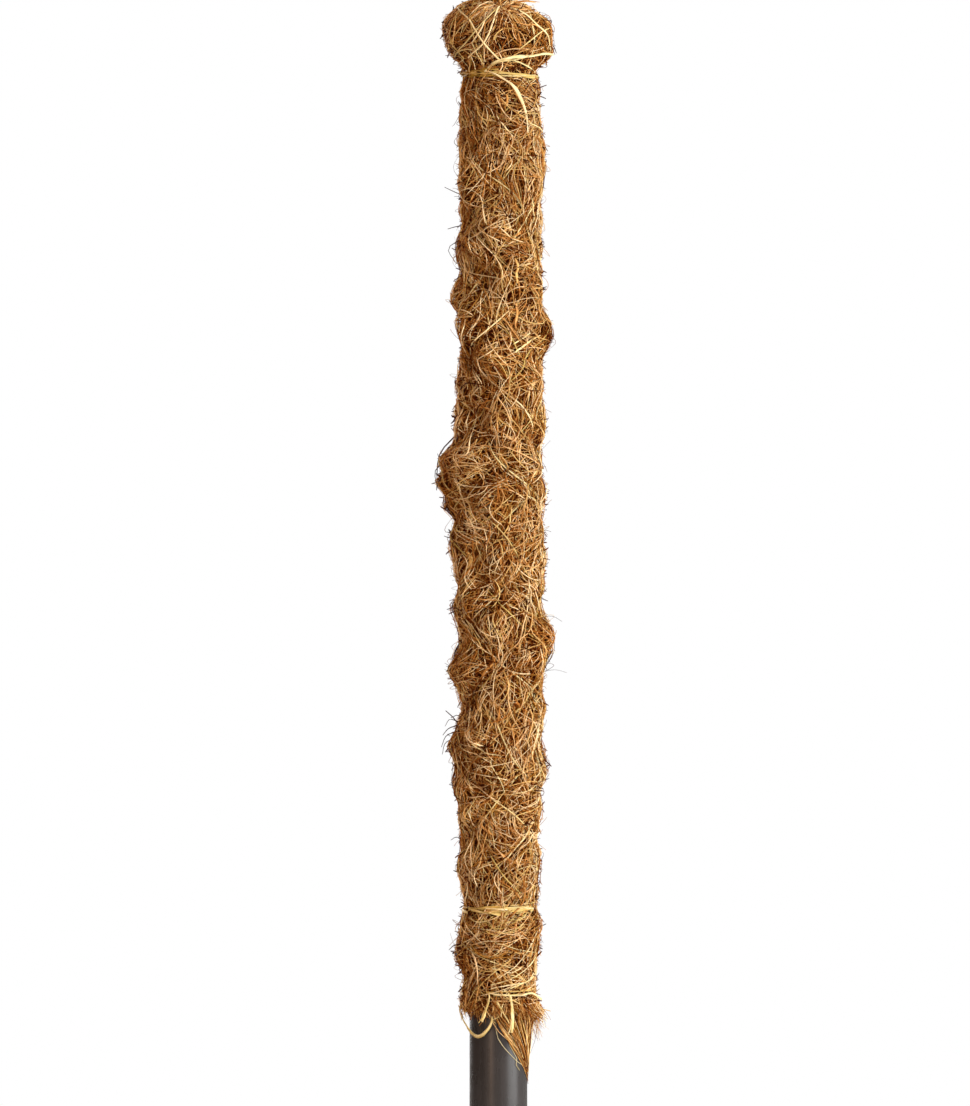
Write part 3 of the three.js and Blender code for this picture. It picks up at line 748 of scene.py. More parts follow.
# Pale strands over the front of the crown: places as degrees from the front, height, distance out
CROWN_STRANDS = (
    ((4, 597.6, 1.0), (-1, 595.4, 1.6), (-6, 590, 1.9), (-11, 585, 1.9), (-20, 581, 1.8), (-42, 576.4, 1.4)),
    ((-72, 597.6, 1.4), (-50, 594.8, 1.7), (-34, 591.6, 1.9), (-25, 587, 1.9), (-16, 582, 1.9),
     (-6, 577.4, 1.7), (3, 574.6, 1.3)),
    ((6, 597.4, 1.0), (20, 595.4, 1.6), (31, 593, 1.9), (44, 589, 1.9), (60, 585, 1.8), (80, 579.8, 1.3)),
    ((9, 575.5, 1.4), (30, 574.2, 1.5), (56, 571.6, 1.3), (78, 569.2, 1.0)),
    ((2, 597.2, 1.0), (-6, 594, 1.6), (-16, 590.4, 1.9), (-25, 586.4, 1.9), (-40, 581.8, 1.8),
     (-68, 577.2, 1.3)),
    ((-50, 597, 1.3), (-58, 590, 1.5), (-62, 583, 1.5), (-50, 576, 1.2)),
    ((62, 588, 1.4), (48, 586.4, 1.7), (34, 583, 1.6), (26, 580, 1.4)),
    ((-30, 582, 1.4), (-27, 578, 1.5), (-24, 573.4, 1.2)),
)
CROWN_STRAND_TONES = (0.92, 0.88, 0.84, 0.76, 0.7, 0.6, 0.7, 0.74)

# Route of the loose strand below the hem: degrees, share of the way from the tube to the hem's edge, and rise
LOOP_ROUTE = (
    (-76, 0.85, 0.35), (-72, 1.08, 0.1), (-64, 1.08, -0.21), (-54, 0.88, -0.6), (-45, 0.7, -0.88),
    (-36, 0.62, -1.0), (-27, 0.6, -0.93), (-18, 0.58, -0.69), (-12, 0.52, -0.4), (-10, 0.48, -0.085),
)
LOOP_DROP = 9.6
LOOP_INNER = TUBE_RADIUS + 0.8
LOOP_EDGE = 16.55 + 0.8

# Raffia strands of each tie. First comes a strand's way: a turn round the waist (rise, seed of its wander,
# first and last degrees, lane, distance out, looseness), places over the coir (degrees, height, distance out)
# or a part of the loop below the hem (first place, how far below). Then come its half widths from end to end,
# its tone, its turns of twist and how often its path is softened, if it is
NECK_RAFFIA = (
    ((0.6, 1, -128, 0, 0.6, 1.0), (0.8,), 0.35, 3.0),
    ((0.4, 2, -130, -6, -0.5, 1.2), (0.75,), 0.5, -3.5),
    ((0.2, 3, -120, 6, -1.3, 0.9), (0.65,), 0.28, 2.5),
    (((-16, 569.2, 1.3), (8, 568.8, 1.6), (35, 567.9, 1.6), (62, 567.0, 1.6), (80, 567.2, 1.5),
      (124, 568.4, 1.3)), (0.4, 0.7, 0.8, 0.7), 0.56, 0.0),
    (((-10, 568.2, 1.2), (14, 567.2, 1.7), (40, 567.4, 1.9), (66, 568.0, 1.9), (88, 567.0, 1.6),
      (120, 568.0, 1.3)), (0.3, 0.45, 0.36, 0.45), 0.7, 0.5),
    ((0.0, 6, 110, 250, 0.6, 1.0), (0.8,), 0.6, 0.0),
    ((0.0, 7, 108, 246, -0.7, 1.0), (0.7,), 0.4, 1.0),
    (((-24, 569.8, 1.3), (-13, 569.4, 1.7), (-2, 567.6, 2.0), (12, 564.2, 1.8), (26, 559.8, 1.6),
      (30, 554.6, 1.6), (30, 549.6, 1.7), (34, 543.4, 2.0)),
     (0.25, 0.25, 0.3, 0.42, 0.66, 0.72, 0.6, 0.28), 0.93, 0.0, 80),
)
CROWN_RAFFIA = (
    (((-22, 569.4, 1.4), (-13, 572.4, 1.6), (-3, 574.8, 1.9), (16, 576.2, 1.9), (40, 577.2, 2.0),
      (62, 578.8, 2.2), (84, 579.4, 2.4)), (0.35, 0.4, 0.6, 0.7, 0.55, 0.45, 0.45), 0.84, 0.0),
    (((-14, 571.8, 1.6), (-4, 574.0, 2.0), (6, 575.2, 2.3), (20, 575.4, 2.2), (34, 576.6, 2.2),
      (48, 578.0, 2.0)), (0.3, 0.45, 0.6, 0.45, 0.25), 0.72, 0.4),
)
LOWER_ARCS = (
    ((-38, 207.8, 0.8), (-24, 204.8, 1.2), (-5, 202.2, 1.4), (14, 203, 1.4), (34, 206, 1.2),
     (55, 208.2, 0.8)),
    ((-50, 208.6, 0.8), (-32, 204.8, 1.2), (-16, 200.8, 1.4), (4, 198.8, 1.2)),
    ((-16, 208, 0.8), (-2, 205, 1.2), (14, 204.4, 1.3), (30, 207.4, 0.9)),
    ((-30, 208, 0.8), (-14, 204, 1.3), (2, 200.6, 1.4), (22, 201.4, 1.3), (40, 204, 1.0)),
    ((4, 208, 0.8), (20, 205.6, 1.2), (38, 205.8, 1.2), (58, 209, 0.9)),
    ((-64, 195, 0.8), (-42, 192.2, 1.3), (-18, 189, 1.4), (5, 186.6, 1.3), (27, 184.4, 0.9)),
    ((-30, 198, 0.8), (0, 196, 1.3), (30, 193, 1.3), (62, 191, 0.8)),
)
LOWER_RAFFIA = (
    ((0.0, 11, -170, 190, -0.2, 0.7), (0.6,), 0.4, 1.0),
    ((0.4, 12, -62, 88, 0.0, 1.05, 1.8), (0.5, 0.9, 0.95, 0.8), 0.5, 1.0),
    ((0.9, 13, -22, 104, 0.2, 0.95, 1.8), (0.5, 0.9, 0.8), 0.6, 1.0),
    ((-0.6, 14, -48, 72, 0.0, 1.1, 1.8), (0.5, 0.9, 0.7), 0.62, 1.0),
    ((1.2, 26, -66, 40, 0.0, 1.1, 1.8), (0.4, 0.75, 0.5), 0.48, 1.0),
    ((-1.3, 27, -20, 80, 0.0, 1.2, 1.8), (0.4, 0.75, 0.6), 0.58, 1.0),
    ((-0.2, 15, -24, 14, 0.0, 1.6, 1.6), (0.3, 0.65, 0.3), 0.9, 0.5),
    ((0.4, 20, -14, 92, 0.0, 1.25, 1.2), (0.4, 0.9, 0.8), 0.68, 0.4),
    ((0.5, 18, 22, 74, 0.0, 1.5, 1.6), (0.25, 0.6, 0.3), 0.95, 0.3),
    ((1.6, 19, -12, 60, 0.0, 1.0, 1.6), (0.25, 0.35, 0.25), 0.7, 1.0),
    ((0.2, 16, 86, 250, 0.6, 1.0, 1.6), (0.6,), 0.6, 1.0),
    ((-0.4, 17, 90, 300, -0.4, 1.0, 1.6), (0.55,), 0.7, 1.0),
    *((arc, (0.16, 0.24, 0.16), 0.46 + 0.05 * k, 0.5) for k, arc in enumerate(LOWER_ARCS)),
)
BOTTOM_RAFFIA = (
    ((0.0, 21, -100, 260, 0.0, -0.3), (0.45,), 0.4, 1.0),
    ((0.3, 22, -20, 210, 0.2, 1.1), (0.3, 0.5, 0.5, 0.4), 0.5, 1.5),
    ((-0.8, 23, -8, 285, -0.4, 1.0), (0.3, 0.5, 0.5, 0.4), 0.7, 0.5),
    ((0.9, 24, 4, 250, 0.3, 1.1), (0.3, 0.45, 0.4), 0.85, 1.0),
    (((-15, 174.4, 1.4), (-14, 172.6, 1.9), (-15, 169.6, 2.0), (-18, 166.4, 2.2), (-21, 163.8, 2.4),
      (-23.5, 162.4, 2.4)), (0.35, 0.4, 0.5, 0.75, 0.9), 0.66, 0.0),
    (((14, 174.2, 1.4), (17, 172.6, 1.9), (18, 169, 2.2), (18.5, 165, 2.2), (19, 161, 1.9),
      (18, 157.4, 1.2)), (0.45, 0.5, 0.7, 0.8, 0.4), 0.7, 0.0),
    (((15, 173, 1.5), (18, 168, 2.0), (17, 162, 2.2), (13, 156.6, 1.8)), (0.2, 0.3, 0.42, 0.3), 0.78, 0.2),
    (((-14, 173, 1.5), (-15, 169, 2.0), (-19, 165.4, 2.4), (-27, 161.6, 2.6)),
     (0.2, 0.3, 0.45, 0.3), 0.58, 0.2),
    (((-15, 174.3, 1.5), (2, 173.6, 1.7), (16, 173.3, 1.8), (31, 172.9, 1.8), (58, 173.3, 1.8),
      (74, 169.2, 3.2)), (0.35, 0.5, 0.55, 0.6, 0.5), 0.78, 0.5),
    (((-3, 170.5, 1.4), (4, 167, 2.0), (11, 163.5, 2.1), (14, 161.6, 2.2)), (0.35, 0.55, 0.45), 0.66, 0.3),
    (((-12, 176.3, 1.0), (5, 177.6, 1.3), (23, 178.6, 1.4), (44, 179.4, 1.3), (64, 182, 1.0)),
     (0.25, 0.36, 0.25), 0.9, 0.5),
    (((-9, 185, 1.0), (4, 184.6, 1.3), (16, 183.3, 1.4), (34, 185, 1.0)), (0.25, 0.36, 0.25), 0.85, 0.5),
    (((-12, 178, 1.0), (18, 181, 1.4), (52, 186, 1.3), (72, 189.5, 1.0)), (0.2, 0.3, 0.2), 0.8, 0.5),
    (((0, 181, 1.0), (24, 186, 1.4), (52, 195, 1.3), (70, 200, 1.0)), (0.2, 0.28, 0.2), 0.9, 0.5),
    (((8, 175.6, 1.2), (38, 179, 1.5), (62, 181, 1.4), (80, 183.4, 1.1)), (0.25, 0.36, 0.25), 0.75, 0.5),
    ((3, 0.75), (0.14, 0.3, 0.34, 0.3, 0.2), 0.62, 0.6),
)


def smooth_path(points, steps):
    """An even, rounded path through points."""
    points = np.asarray(points, float)
    ends = np.concatenate((2 * points[:1] - points[1:2], points, 2 * points[-1:] - points[-2:-1]))
    t = np.linspace(0, 1, 24, endpoint=False)[:, None]
    fine = []
    for k in range(1, len(ends) - 2):
        p0, p1, p2, p3 = ends[k - 1 : k + 3]
        bend = 2 * p0 - 5 * p1 + 4 * p2 - p3
        fine.append(0.5 * (2 * p1 + (p2 - p0) * t + bend * t**2 + (3 * p1 - p0 - 3 * p2 + p3) * t**3))
    fine = np.concatenate(fine + [points[-1:]])
    length = run_along(fine)
    return points_at(fine, length, np.linspace(0, length[-1], steps))


def over_coir(places, steps, rounds=0):
    """A rounded path over the coir, or down past its hem: degrees from the front, height, distance out."""
    degrees, z, out = smooth_path(places, steps).T
    path = on_coir(np.radians(degrees), course_of(z), out)
    path[:, 2] += np.minimum(z - COURSE_Z[0], 0.0)
    soften(path, rounds)
    return path


def thread_path(column, hand, seed):
    """One binding thread from the lower tie to the neck, with some sway, in and out of the coir."""
    dice = np.random.default_rng(seed)
    t = np.linspace(0, 1, THREAD_STEPS)
    sway = 0.05 * np.sin(math.tau * t * dice.uniform(3, 6) + dice.uniform(0, 6))
    sway += 0.04 * np.sin(math.tau * t * dice.uniform(9, 16) + dice.uniform(0, 6))
    s = course_of(QUILT_START_Z + QUILT_LENGTH * t)
    place = column + hand * t * QUILT_ROWS
    a = math.tau * place / QUILT_COLUMNS
    for _ in range(3):
        warp = COLUMN_WARP * warp_waves(a, s)
        a = math.tau * (place + (ROW_WARP * hand - 1) * warp) / QUILT_COLUMNS
    out = 0.55 + 0.5 * np.sin(math.tau * t * dice.uniform(9, 13) + dice.uniform(0, 6))
    return on_coir(a + sway, s, out + (0.3 if hand < 0 else 0.0))


def make_threads(material):
    """Four binding threads each way round."""
    pattern = model_strand(6, THREAD_STEPS - 1)
    for side, hand in (("right", 1), ("left", -1)):
        for k in range(4):
            path = thread_path(FIRST_COLUMN + k * CELL_STEPS, hand, 40 + k + 10 * hand)[None]
            thick = 0.28 + 0.06 * np.sin(np.linspace(0, 60, THREAD_STEPS) + k)[None]
            tone = np.array([0.55 + 0.1 * k])
            lay_strands(f"{side}_thread_{k + 1}", pattern, path, thick, thick * 0.8, tone, material,
                        f"{side}_hand_thread_{k + 1}")


def make_lashings(material):
    """Two lashings that cross at the gather, and the pale strands that lie over the crown's front."""
    pattern = model_strand(6, LASHING_STEPS - 1)
    top = COURSE_END - 1.0
    t = np.linspace(-1, 1, LASHING_STEPS)
    thick = np.full((1, LASHING_STEPS), 0.34)
    s = top - np.abs(t) * (top - NECK_S - 3.0)
    for k, degrees in enumerate((-30, 45)):
        a = np.where(t < 0, math.radians(degrees), math.radians(degrees) + math.pi)
        a = a + 0.12 * np.sin(5 * t + k)
        path = on_coir(a, s, 0.9 + 0.6 * k * np.exp(-((t * 6) ** 2)))[None]
        tone = np.array([0.6 + 0.2 * k])
        lay_strands(f"crown_lash_{k + 1}", pattern, path, thick, thick * 0.8, tone, material,
                    f"crown_lashing_{k + 1}")
    paths = np.stack([over_coir(places, LASHING_STEPS) for places in CROWN_STRANDS])
    widths = np.repeat(thick, len(paths), 0) * np.linspace(1.2, 0.8, len(paths))[:, None]
    tones = np.array(CROWN_STRAND_TONES)
    lay_strands("crown_strands", pattern, paths, widths, widths * 0.7, tones, material)


def loop_path(steps, first=0, drop=0.0):
    """Path of the loose strand below the hem, or of its lower part a little further down."""
    degrees, share, rise = np.array(LOOP_ROUTE[first:]).T
    radius = LOOP_INNER + (LOOP_EDGE - LOOP_INNER) * share
    return smooth_path(round_pole(radius, np.radians(degrees), HEM_Z + LOOP_DROP * rise - drop), steps)


def turn_path(z, seed, first, last, lane, out, loose=1.0):
    """A raffia strand laid round a waist, wandering up and down, and in and out of the coir."""
    dice = np.random.default_rng(seed)
    turn = np.radians(np.linspace(first, last, TIE_STEPS))
    sway = loose * dice.uniform(0.3, 0.7) * np.sin(turn * dice.uniform(1.2, 2.4) + dice.uniform(0, 6))
    bob = loose * dice.uniform(0.1, 0.35) * np.sin(turn * dice.uniform(2.0, 4.0) + dice.uniform(0, 6))
    return round_pole(radius_at(course_of(z)) + out + bob, turn, z + lane + sway)


def raffia_path(z, way, rounds=0):
    """Path of a strand of a tie at a height."""
    if isinstance(way[0], tuple):
        return over_coir(way, TIE_STEPS, rounds)
    if len(way) == 2:
        return loop_path(TIE_STEPS, *way)
    rise, *course = way
    return turn_path(z + rise, *course)


def make_ties(material):
    """Raffia round the neck, the lower waist and the hem, and the strands that climb the crown."""
    pattern = model_strand(8, TIE_STEPS - 1)
    t = np.linspace(0, 1, TIE_STEPS)
    for name, node, z, strands in (
        ("neck_raffia", "neck_tie", NECK_Z, NECK_RAFFIA),
        ("crown_raffia", "crown_strand", NECK_Z, CROWN_RAFFIA),
        ("lower_raffia", "lower_tie", LOWER_TIE_Z, LOWER_RAFFIA),
        ("bottom_raffia", "bottom_tie", BOTTOM_TIE_Z, BOTTOM_RAFFIA),
    ):
        paths = [raffia_path(z, way, *rounds) for way, _, _, _, *rounds in strands]
        halves, tones, turns = ([strand[k] for strand in strands] for k in (1, 2, 3))
        number = np.arange(len(paths))[:, None]
        widths = np.stack([np.interp(t, np.linspace(0, 1, len(half)), half) for half in halves])
        widths = widths * (1 + 0.2 * np.sin(t * 17 + number * 2.1))
        depths = np.minimum(widths * 0.6, 0.22)
        twist = np.array(turns)[:, None] * math.tau * t + 0.3 * np.sin(t * 9 + number)
        lay_strands(name, pattern, np.stack(paths), widths, depths, np.array(tones), material, node,
                    twist)


def make_hem_loop(material):
    """Loose strand in a loop below the hem."""
    points = loop_path(LOOP_STEPS)
    pattern = model_strand(8, LOOP_STEPS - 1)
    thick = np.interp(np.linspace(0, 1, LOOP_STEPS), (0, 0.4, 0.75, 1), (0.3, 0.4, 0.62, 0.45))[None]
    tone = np.array([0.72])
    loop = lay_strands("hem_loop_strand", pattern, points[None], thick, thick * 0.7, tone, material,
                       "hem_loop")


# Gather, hem, wisp, pith and stray hairs

def make_gather(pattern, material):
    """Fibres swept in to the gather on the crown's rim, ends that stand up there, and some in the dimple."""
    dice = np.random.default_rng(81)
    count, ends, dimple = 380, 80, 110
    t = FIBRE_T
    a, s = dice.normal(0.05, 1.0, count), COURSE_END - dice.uniform(8, 28, count)
    way = dice.normal(0, 0.2, count)
    long, curl = dice.uniform(10, 25, count), dice.normal(0, 0.7, count)

    def way_at(at_a, at_s):
        return way + gather_heading(at_a, at_s)

    a, s = march(a, s, way_at, long, curl, dice)
    swept = on_coir(a, s, dice.normal(0.6, 0.35, count)[:, None] + 0.7 * (0.4 - (2 * t - 1) ** 2))
    root = np.array((GATHER_RIGHT, -GATHER_FRONT, TOP_Z - 2.8))
    root = root + dice.normal(0, 1.0, (ends, 3)) * (2.2, 2.4, 0.5)
    tip = (dice.uniform(-3, 15, ends), dice.uniform(-2, 6, ends), dice.uniform(0, 6.6, ends))
    tip = root + np.stack(tip, 1)
    bow = dice.uniform(0.2, 1.4, ends)[:, None, None] * np.sin(math.pi * t)[:, None] * np.array((0, 0, 1.0))
    stood = root[:, None] + (tip - root)[:, None] * t[:, None] + bow
    thick = dice.gamma(9.0, 0.023, count + ends).clip(0.11, 0.4) * np.repeat((1.0, 1.25), (count, ends))
    # Swept fibres take the coir's darkness too, with its painted shade and painted light
    swept_tones = dice.normal(0.67, 0.22, count) - darkness(a[:, FIBRE_MIDDLE], s[:, FIBRE_MIDDLE])
    stood_tones = dice.normal(0.52, 0.28, ends)
    turn = dice.uniform(0, math.pi, dimple)[:, None]
    reach = dice.uniform(3, 6.5, dimple)[:, None] * (2 * t - 1)
    x, y = dice.normal(0, 1.5, (2, dimple, 1)) + np.stack((np.cos(turn) * reach, np.sin(turn) * reach))
    dish = np.interp(np.hypot(x, y), COURSE_R[:RISING:-1], COURSE_Z[:RISING:-1])
    laid = np.stack((x, y, dish + dice.uniform(-0.3, 0.6, dimple)[:, None]), -1)
    paths = np.concatenate((swept, stood, laid))
    widths = np.append(thick, dice.uniform(0.16, 0.3, dimple))[:, None] * FIBRE_TAPER
    tones = np.concatenate((swept_tones, stood_tones, dice.normal(0.42, 0.2, dimple)))
    lay_strands("crown_gather", pattern, paths, widths, widths * 0.8, tones, material)


def make_fringe(pattern, material):
    """Fibre ends round the hem: short at the left and behind, longer, flared and frizzy at the right."""
    dice = np.random.default_rng(91)
    count, frizzy = 1500, 240
    total = count + frizzy
    t = FIBRE_T
    a = np.concatenate((dice.uniform(-math.pi, math.pi, count), dice.normal(1.25, 0.33, frizzy)))
    frizz = np.repeat((0.0, 1.0), (count, frizzy))
    right = np.exp(-(((a - 1.15) / 0.6) ** 2))
    left = np.exp(-(((a + 1.4) / 0.55) ** 2))
    top = HEM_Z + dice.uniform(1.5, 9.0, total)
    drop = dice.gamma(2.0, 0.75, total) - 1.0 + right * dice.uniform(0, 4, total)
    drop = drop + frizz * dice.uniform(-4, 9, total) - 1.6 * left
    z = top[:, None] - (top - HEM_Z + drop)[:, None] * t
    flare = dice.normal(0.0, 0.9, total) + right * dice.uniform(-1.0, 4.6, total) - 2.6 * left
    flare += frizz * dice.uniform(-2.0, 2.4, total)
    phase = dice.uniform(0, 6, (2, total))[..., None]
    rate = dice.uniform(6, 11, (2, total))[..., None]
    curl = (0.25 + 0.75 * frizz)[:, None] * t
    radius = mat_outline(np.maximum(z, HEM_Z - 2)) + dice.uniform(-2.6, 0.8, total)[:, None]
    radius = radius + flare[:, None] * t**1.6
    radius = np.maximum(radius + curl * np.sin(rate[0] * t + phase[0]), TUBE_RADIUS + 0.4)
    turn = a[:, None] + (dice.normal(0, 0.2, total) + 0.24 * right)[:, None] * t
    turn = turn + 0.09 * curl * np.sin(rate[1] * t + phase[1])
    thick = dice.gamma(8.0, 0.026, total).clip(0.1, 0.4) * (1 - 0.45 * frizz)
    widths = thick[:, None] * TAIL_TAPER
    tones = np.where(dice.random(total) < 0.35, 0.14, dice.normal(0.54, 0.2, total)) + 0.1 * right
    paths = round_pole(radius, turn, z)
    lay_strands("hem_fringe", pattern, paths, widths, widths * 0.8, tones, material)


def make_wisp(pattern, material):
    """Combed-down coir that narrows to a point along the tube's right side."""
    dice = np.random.default_rng(92)
    count = 230
    last_start, point = 94, 86
    t = FIBRE_T
    start = dice.uniform(-10, last_start, count)
    reach = dice.uniform(0.1, 1.0, count) ** 0.75 * (1 - 0.25 * np.clip(start / last_start, 0, 1))
    end = start + (point - start) * np.minimum(reach * 1.05, 1.0) ** 0.85
    turn = np.radians(start[:, None] + (end - start)[:, None] * t**1.4)
    top = HEM_Z + dice.uniform(1, 7, count)
    z = top[:, None] - (top - HEM_Z + 32.5 * reach)[:, None] * t
    bow = dice.normal(0, 0.11, count)[:, None] * np.sin(math.pi * t * dice.uniform(0.8, 1.6, count)[:, None])
    bow = bow * reach[:, None] * 2
    lift = dice.gamma(2.0, 0.5, count)[:, None] * np.sin(math.pi * t) ** 0.8
    over = np.maximum(mat_outline(np.maximum(z, HEM_Z)) - TUBE_RADIUS, 0)
    radius = TUBE_RADIUS + 0.3 + over * np.exp(-t * 4.5) * 0.9 + lift * (1 - 0.5 * t)
    paths = round_pole(radius, turn + bow, z)
    thick = dice.gamma(8.0, 0.029, count).clip(0.1, 0.45)
    widths = thick[:, None] * TAIL_TAPER
    tones = np.where(dice.random(count) < 0.4, 0.1, dice.normal(0.64, 0.22, count))
    lay_strands("hem_wisp_fibres", pattern, paths, widths, widths * 0.8, tones, material, "hem_wisp")


# Loose strands that hang along the tube beside the wisp: degrees, height
LOOSE_ENDS = (
    ((-5, 161), (-3, 155.6), (8.6, 150.9), (22.6, 147.4), (35.6, 144.4), (51.5, 142.3)),
    ((12, 160), (17, 154.5), (26, 149.5), (37, 146), (36, 142.4), (45, 140)),
)


def make_loose_ends(pattern, material):
    """Two fine strands that hang loose along the tube beside the wisp."""
    paths = []
    for places in LOOSE_ENDS:
        degrees, z = np.array(places).T
        paths.append(smooth_path(round_pole(TUBE_RADIUS + 0.5, np.radians(degrees), z), FIBRE_STEPS))
    widths = np.full((len(paths), FIBRE_STEPS), 0.13)
    tones = np.array([0.95, 0.8])
    lay_strands("loose_ends", pattern, np.stack(paths), widths, widths, tones, material)


# Flat flecks of pith on the mat: degrees, height at the top, length, lean in degrees, half width
PITH = (
    (19, 490, 11, 10, 0.6), (24, 471, 11, 6, 0.6), (60, 457, 14, -58, 0.42), (46, 458, 9, -58, 0.36),
    (-52, 364, 7, 5, 1.4),
)
PITH_TONES = (0.72, 0.66, 0.97, 0.95, 0.75)
PITH_TAPER = np.array([0.4, 0.85, 1.0, 1.0, 0.95, 1.0, 0.8, 0.4])


def make_pith(pattern, material):
    """Pale flecks on the front, and brown flecks of husk and pith all over."""
    dice = np.random.default_rng(94)
    count = 80
    t = FIBRE_T
    ranges = ((-180, 180), (185, 560), (4, 10), (-70, 70), (0.3, 0.75))
    more = np.stack([dice.uniform(least, most, count) for least, most in ranges], 1)
    flecks = np.concatenate((np.array(PITH), more))
    degrees, top, length, lean, half = (column[:, None] for column in flecks.T)
    lean = np.radians(lean)
    z = top - length * np.cos(lean) * t
    a = np.radians(degrees) + length * np.sin(lean) * t / 18.5 + 0.03 * np.sin(5 * t + top)
    seat = np.concatenate((np.full(len(PITH), 1.2), dice.uniform(0.2, 0.9, count)))[:, None]
    paths = on_coir(a, course_of(z), seat + 0.3 * np.sin(3 * t + degrees))
    widths = half * PITH_TAPER
    tones = np.concatenate((PITH_TONES, dice.uniform(0.45, 0.66, count)))
    lay_strands("pith_flecks", pattern, paths, widths, np.full_like(widths, 0.14), tones, material)


# Hairs that stand out at the sides: across and height at the root, the middle and the tip, half thickness
HAIRS = (
    (-14, 516.5, -18, 518, -23.2, 520.4, 0.3), (-14, 504, -18, 503.5, -21.8, 502.4, 0.3),
    (-15, 498.5, -21.5, 494, -18, 487.5, 0.24), (-15, 468, -19, 469.6, -21.2, 471.8, 0.42),
    (-18, 414, -25.4, 405, -26.6, 390, 0.42), (-19, 405, -27, 399, -26, 391, 0.3),
    (-18, 395, -24, 400, -26.2, 406, 0.28), (-19, 388, -24, 390, -26.5, 394, 0.26),
    (-15, 285, -19, 291, -22.8, 294.6, 0.4), (-15, 283, -19, 282, -22.4, 279.6, 0.4),
    (-15, 287, -20, 284, -22, 285, 0.3), (-15, 288, -17, 293, -20.5, 292, 0.3),
    (-17, 289, -21.4, 287.5, -24, 284.5, 0.3), (-17, 286, -22.4, 284, -24.6, 279, 0.3),
    (-18, 283, -22.8, 281, -24.2, 276, 0.26), (-17, 290, -21, 291, -23, 288, 0.26),
    (15, 419, 19, 420.4, 21.6, 421, 0.36), (15, 386.5, 19, 388, 21.8, 388.6, 0.4),
    (15, 384, 19, 385, 21, 386, 0.3), (17, 335, 23, 336, 27.4, 333.6, 0.14),
    (17, 311, 24, 312.5, 29.6, 311.2, 0.12), (15, 562, 18, 563, 20.6, 564, 0.36),
    (15, 560, 18, 559.4, 20.4, 558.4, 0.38), (15, 554, 18, 555, 19.8, 555.2, 0.32),
    (-15, 238, -18, 240, -20.6, 238.6, 0.3), (-15, 193, -18.5, 194, -21.4, 191.6, 0.3),
)
HAIRY_FROM = float(course_of(HEM_Z)) + 4
HAIRY_TO = COURSE_END - 12


def make_strays(pattern, material):
    """Single hairs that lift off the coir."""
    dice = np.random.default_rng(93)
    count = 1700
    t = FIBRE_T
    a = dice.uniform(-math.pi, math.pi, count)
    s = dice.uniform(HAIRY_FROM, HAIRY_TO, count)
    heading = dice.uniform(0, math.tau, count)
    length = dice.gamma(3.0, 3.2, count).clip(3.5, 28)
    turn, rise = march(a, s, lambda *_: heading, length, dice.normal(0, 1.8, count), dice)
    far = dice.gamma(2.0, 0.85, count).clip(0.4, 5.0)[:, None]
    free = dice.random(count)[:, None] < 0.5
    paths = on_coir(turn, rise, 0.3 + far * np.where(free, t**1.5, np.sin(math.pi * t)))
    thick = dice.uniform(0.08, 0.18, count)
    tones = dice.normal(0.28, 0.25, count)
    named = []
    for (x0, z0, x1, z1, x2, z2, _), y in zip(HAIRS, dice.uniform(-5, 4, len(HAIRS))):
        named.append(smooth_path(((x0, y, z0), (x1, y, z1), (x2, y, z2)), FIBRE_STEPS))
    paths = np.concatenate((paths, np.stack(named)))
    thick = np.concatenate((thick, [hair[-1] for hair in HAIRS]))
    tones = np.concatenate((tones, dice.uniform(0.0, 0.06, len(HAIRS))))
    widths = thick[:, None] * np.linspace(1, 0.5, FIBRE_STEPS)
    lay_strands("stray_hairs", pattern, paths, widths, widths, tones, material)


def make_fuzz(material):
    """Short ends that stand off the coir all over it, dark crumbs that cling to it as painted shade in the
    gaps between fibres, and stubs of husk.
    """
    dice = np.random.default_rng(95)
    kinds = (5200, 2600, 800)
    total = sum(kinds)
    shade_crumb = np.repeat((0.0, 1.0, 0.0), kinds)
    stub = np.repeat((0.0, 0.0, 1.0), kinds)
    a = dice.uniform(-math.pi, math.pi, total)
    s = dice.uniform(HAIRY_FROM, HAIRY_TO, total)
    heading = dice.uniform(0, math.tau, total)
    long = (dice.uniform(0.8, 3.2, total) * (1 - 0.4 * shade_crumb))[:, None]
    taper = np.array([0.7, 1.0, 0.9, 0.6])
    t = np.linspace(0, 1, len(taper))
    turn = a[:, None] + np.cos(heading)[:, None] * long * t / 18.0
    rise = s[:, None] + np.sin(heading)[:, None] * long * t
    lift = dice.uniform(0.5, 2.2, total) * (1 - 0.8 * shade_crumb) + 0.8 * stub
    out = dice.uniform(0.2, 0.9, total)[:, None] + lift[:, None] * t**0.8
    paths = on_coir(turn, np.clip(rise, 0, COURSE_END - 4), out)
    thick = np.where(shade_crumb > 0, dice.uniform(0.25, 0.5, total), dice.uniform(0.1, 0.19, total) * (1 + stub))
    widths = thick[:, None] * taper
    # Dark tones, darkest on the crumbs: painted shade in the gaps and at the lit rims, beside the coir's own
    # dark ends
    tones = dice.normal(0.28 - 0.14 * shade_crumb - 0.22 * stub, 0.22 - 0.14 * shade_crumb - 0.17 * stub)
    lay_strands("coir_fuzz", model_strand(3, len(taper) - 1), paths, widths, widths, tones, material)


# Stage

# Lamps: place, aim, size, power, colour
LAMPS = {
    "key": ((1.61, -0.93, 0.6), (0, 0, 0.38), (1.5, 1.9), 79.0, (0.97, 1.0, 1.0)),
    "fill": ((-0.85, -1.47, 0.5), (0, 0, 0.38), (0.2, 1.4), 14.8, (1.0, 0.67, 0.46)),
    "back": ((-0.9, 1.78, 0.7), (0, 0, 0.36), (1.2, 1.6), 66.0, (1.0, 1.0, 1.0)),
}


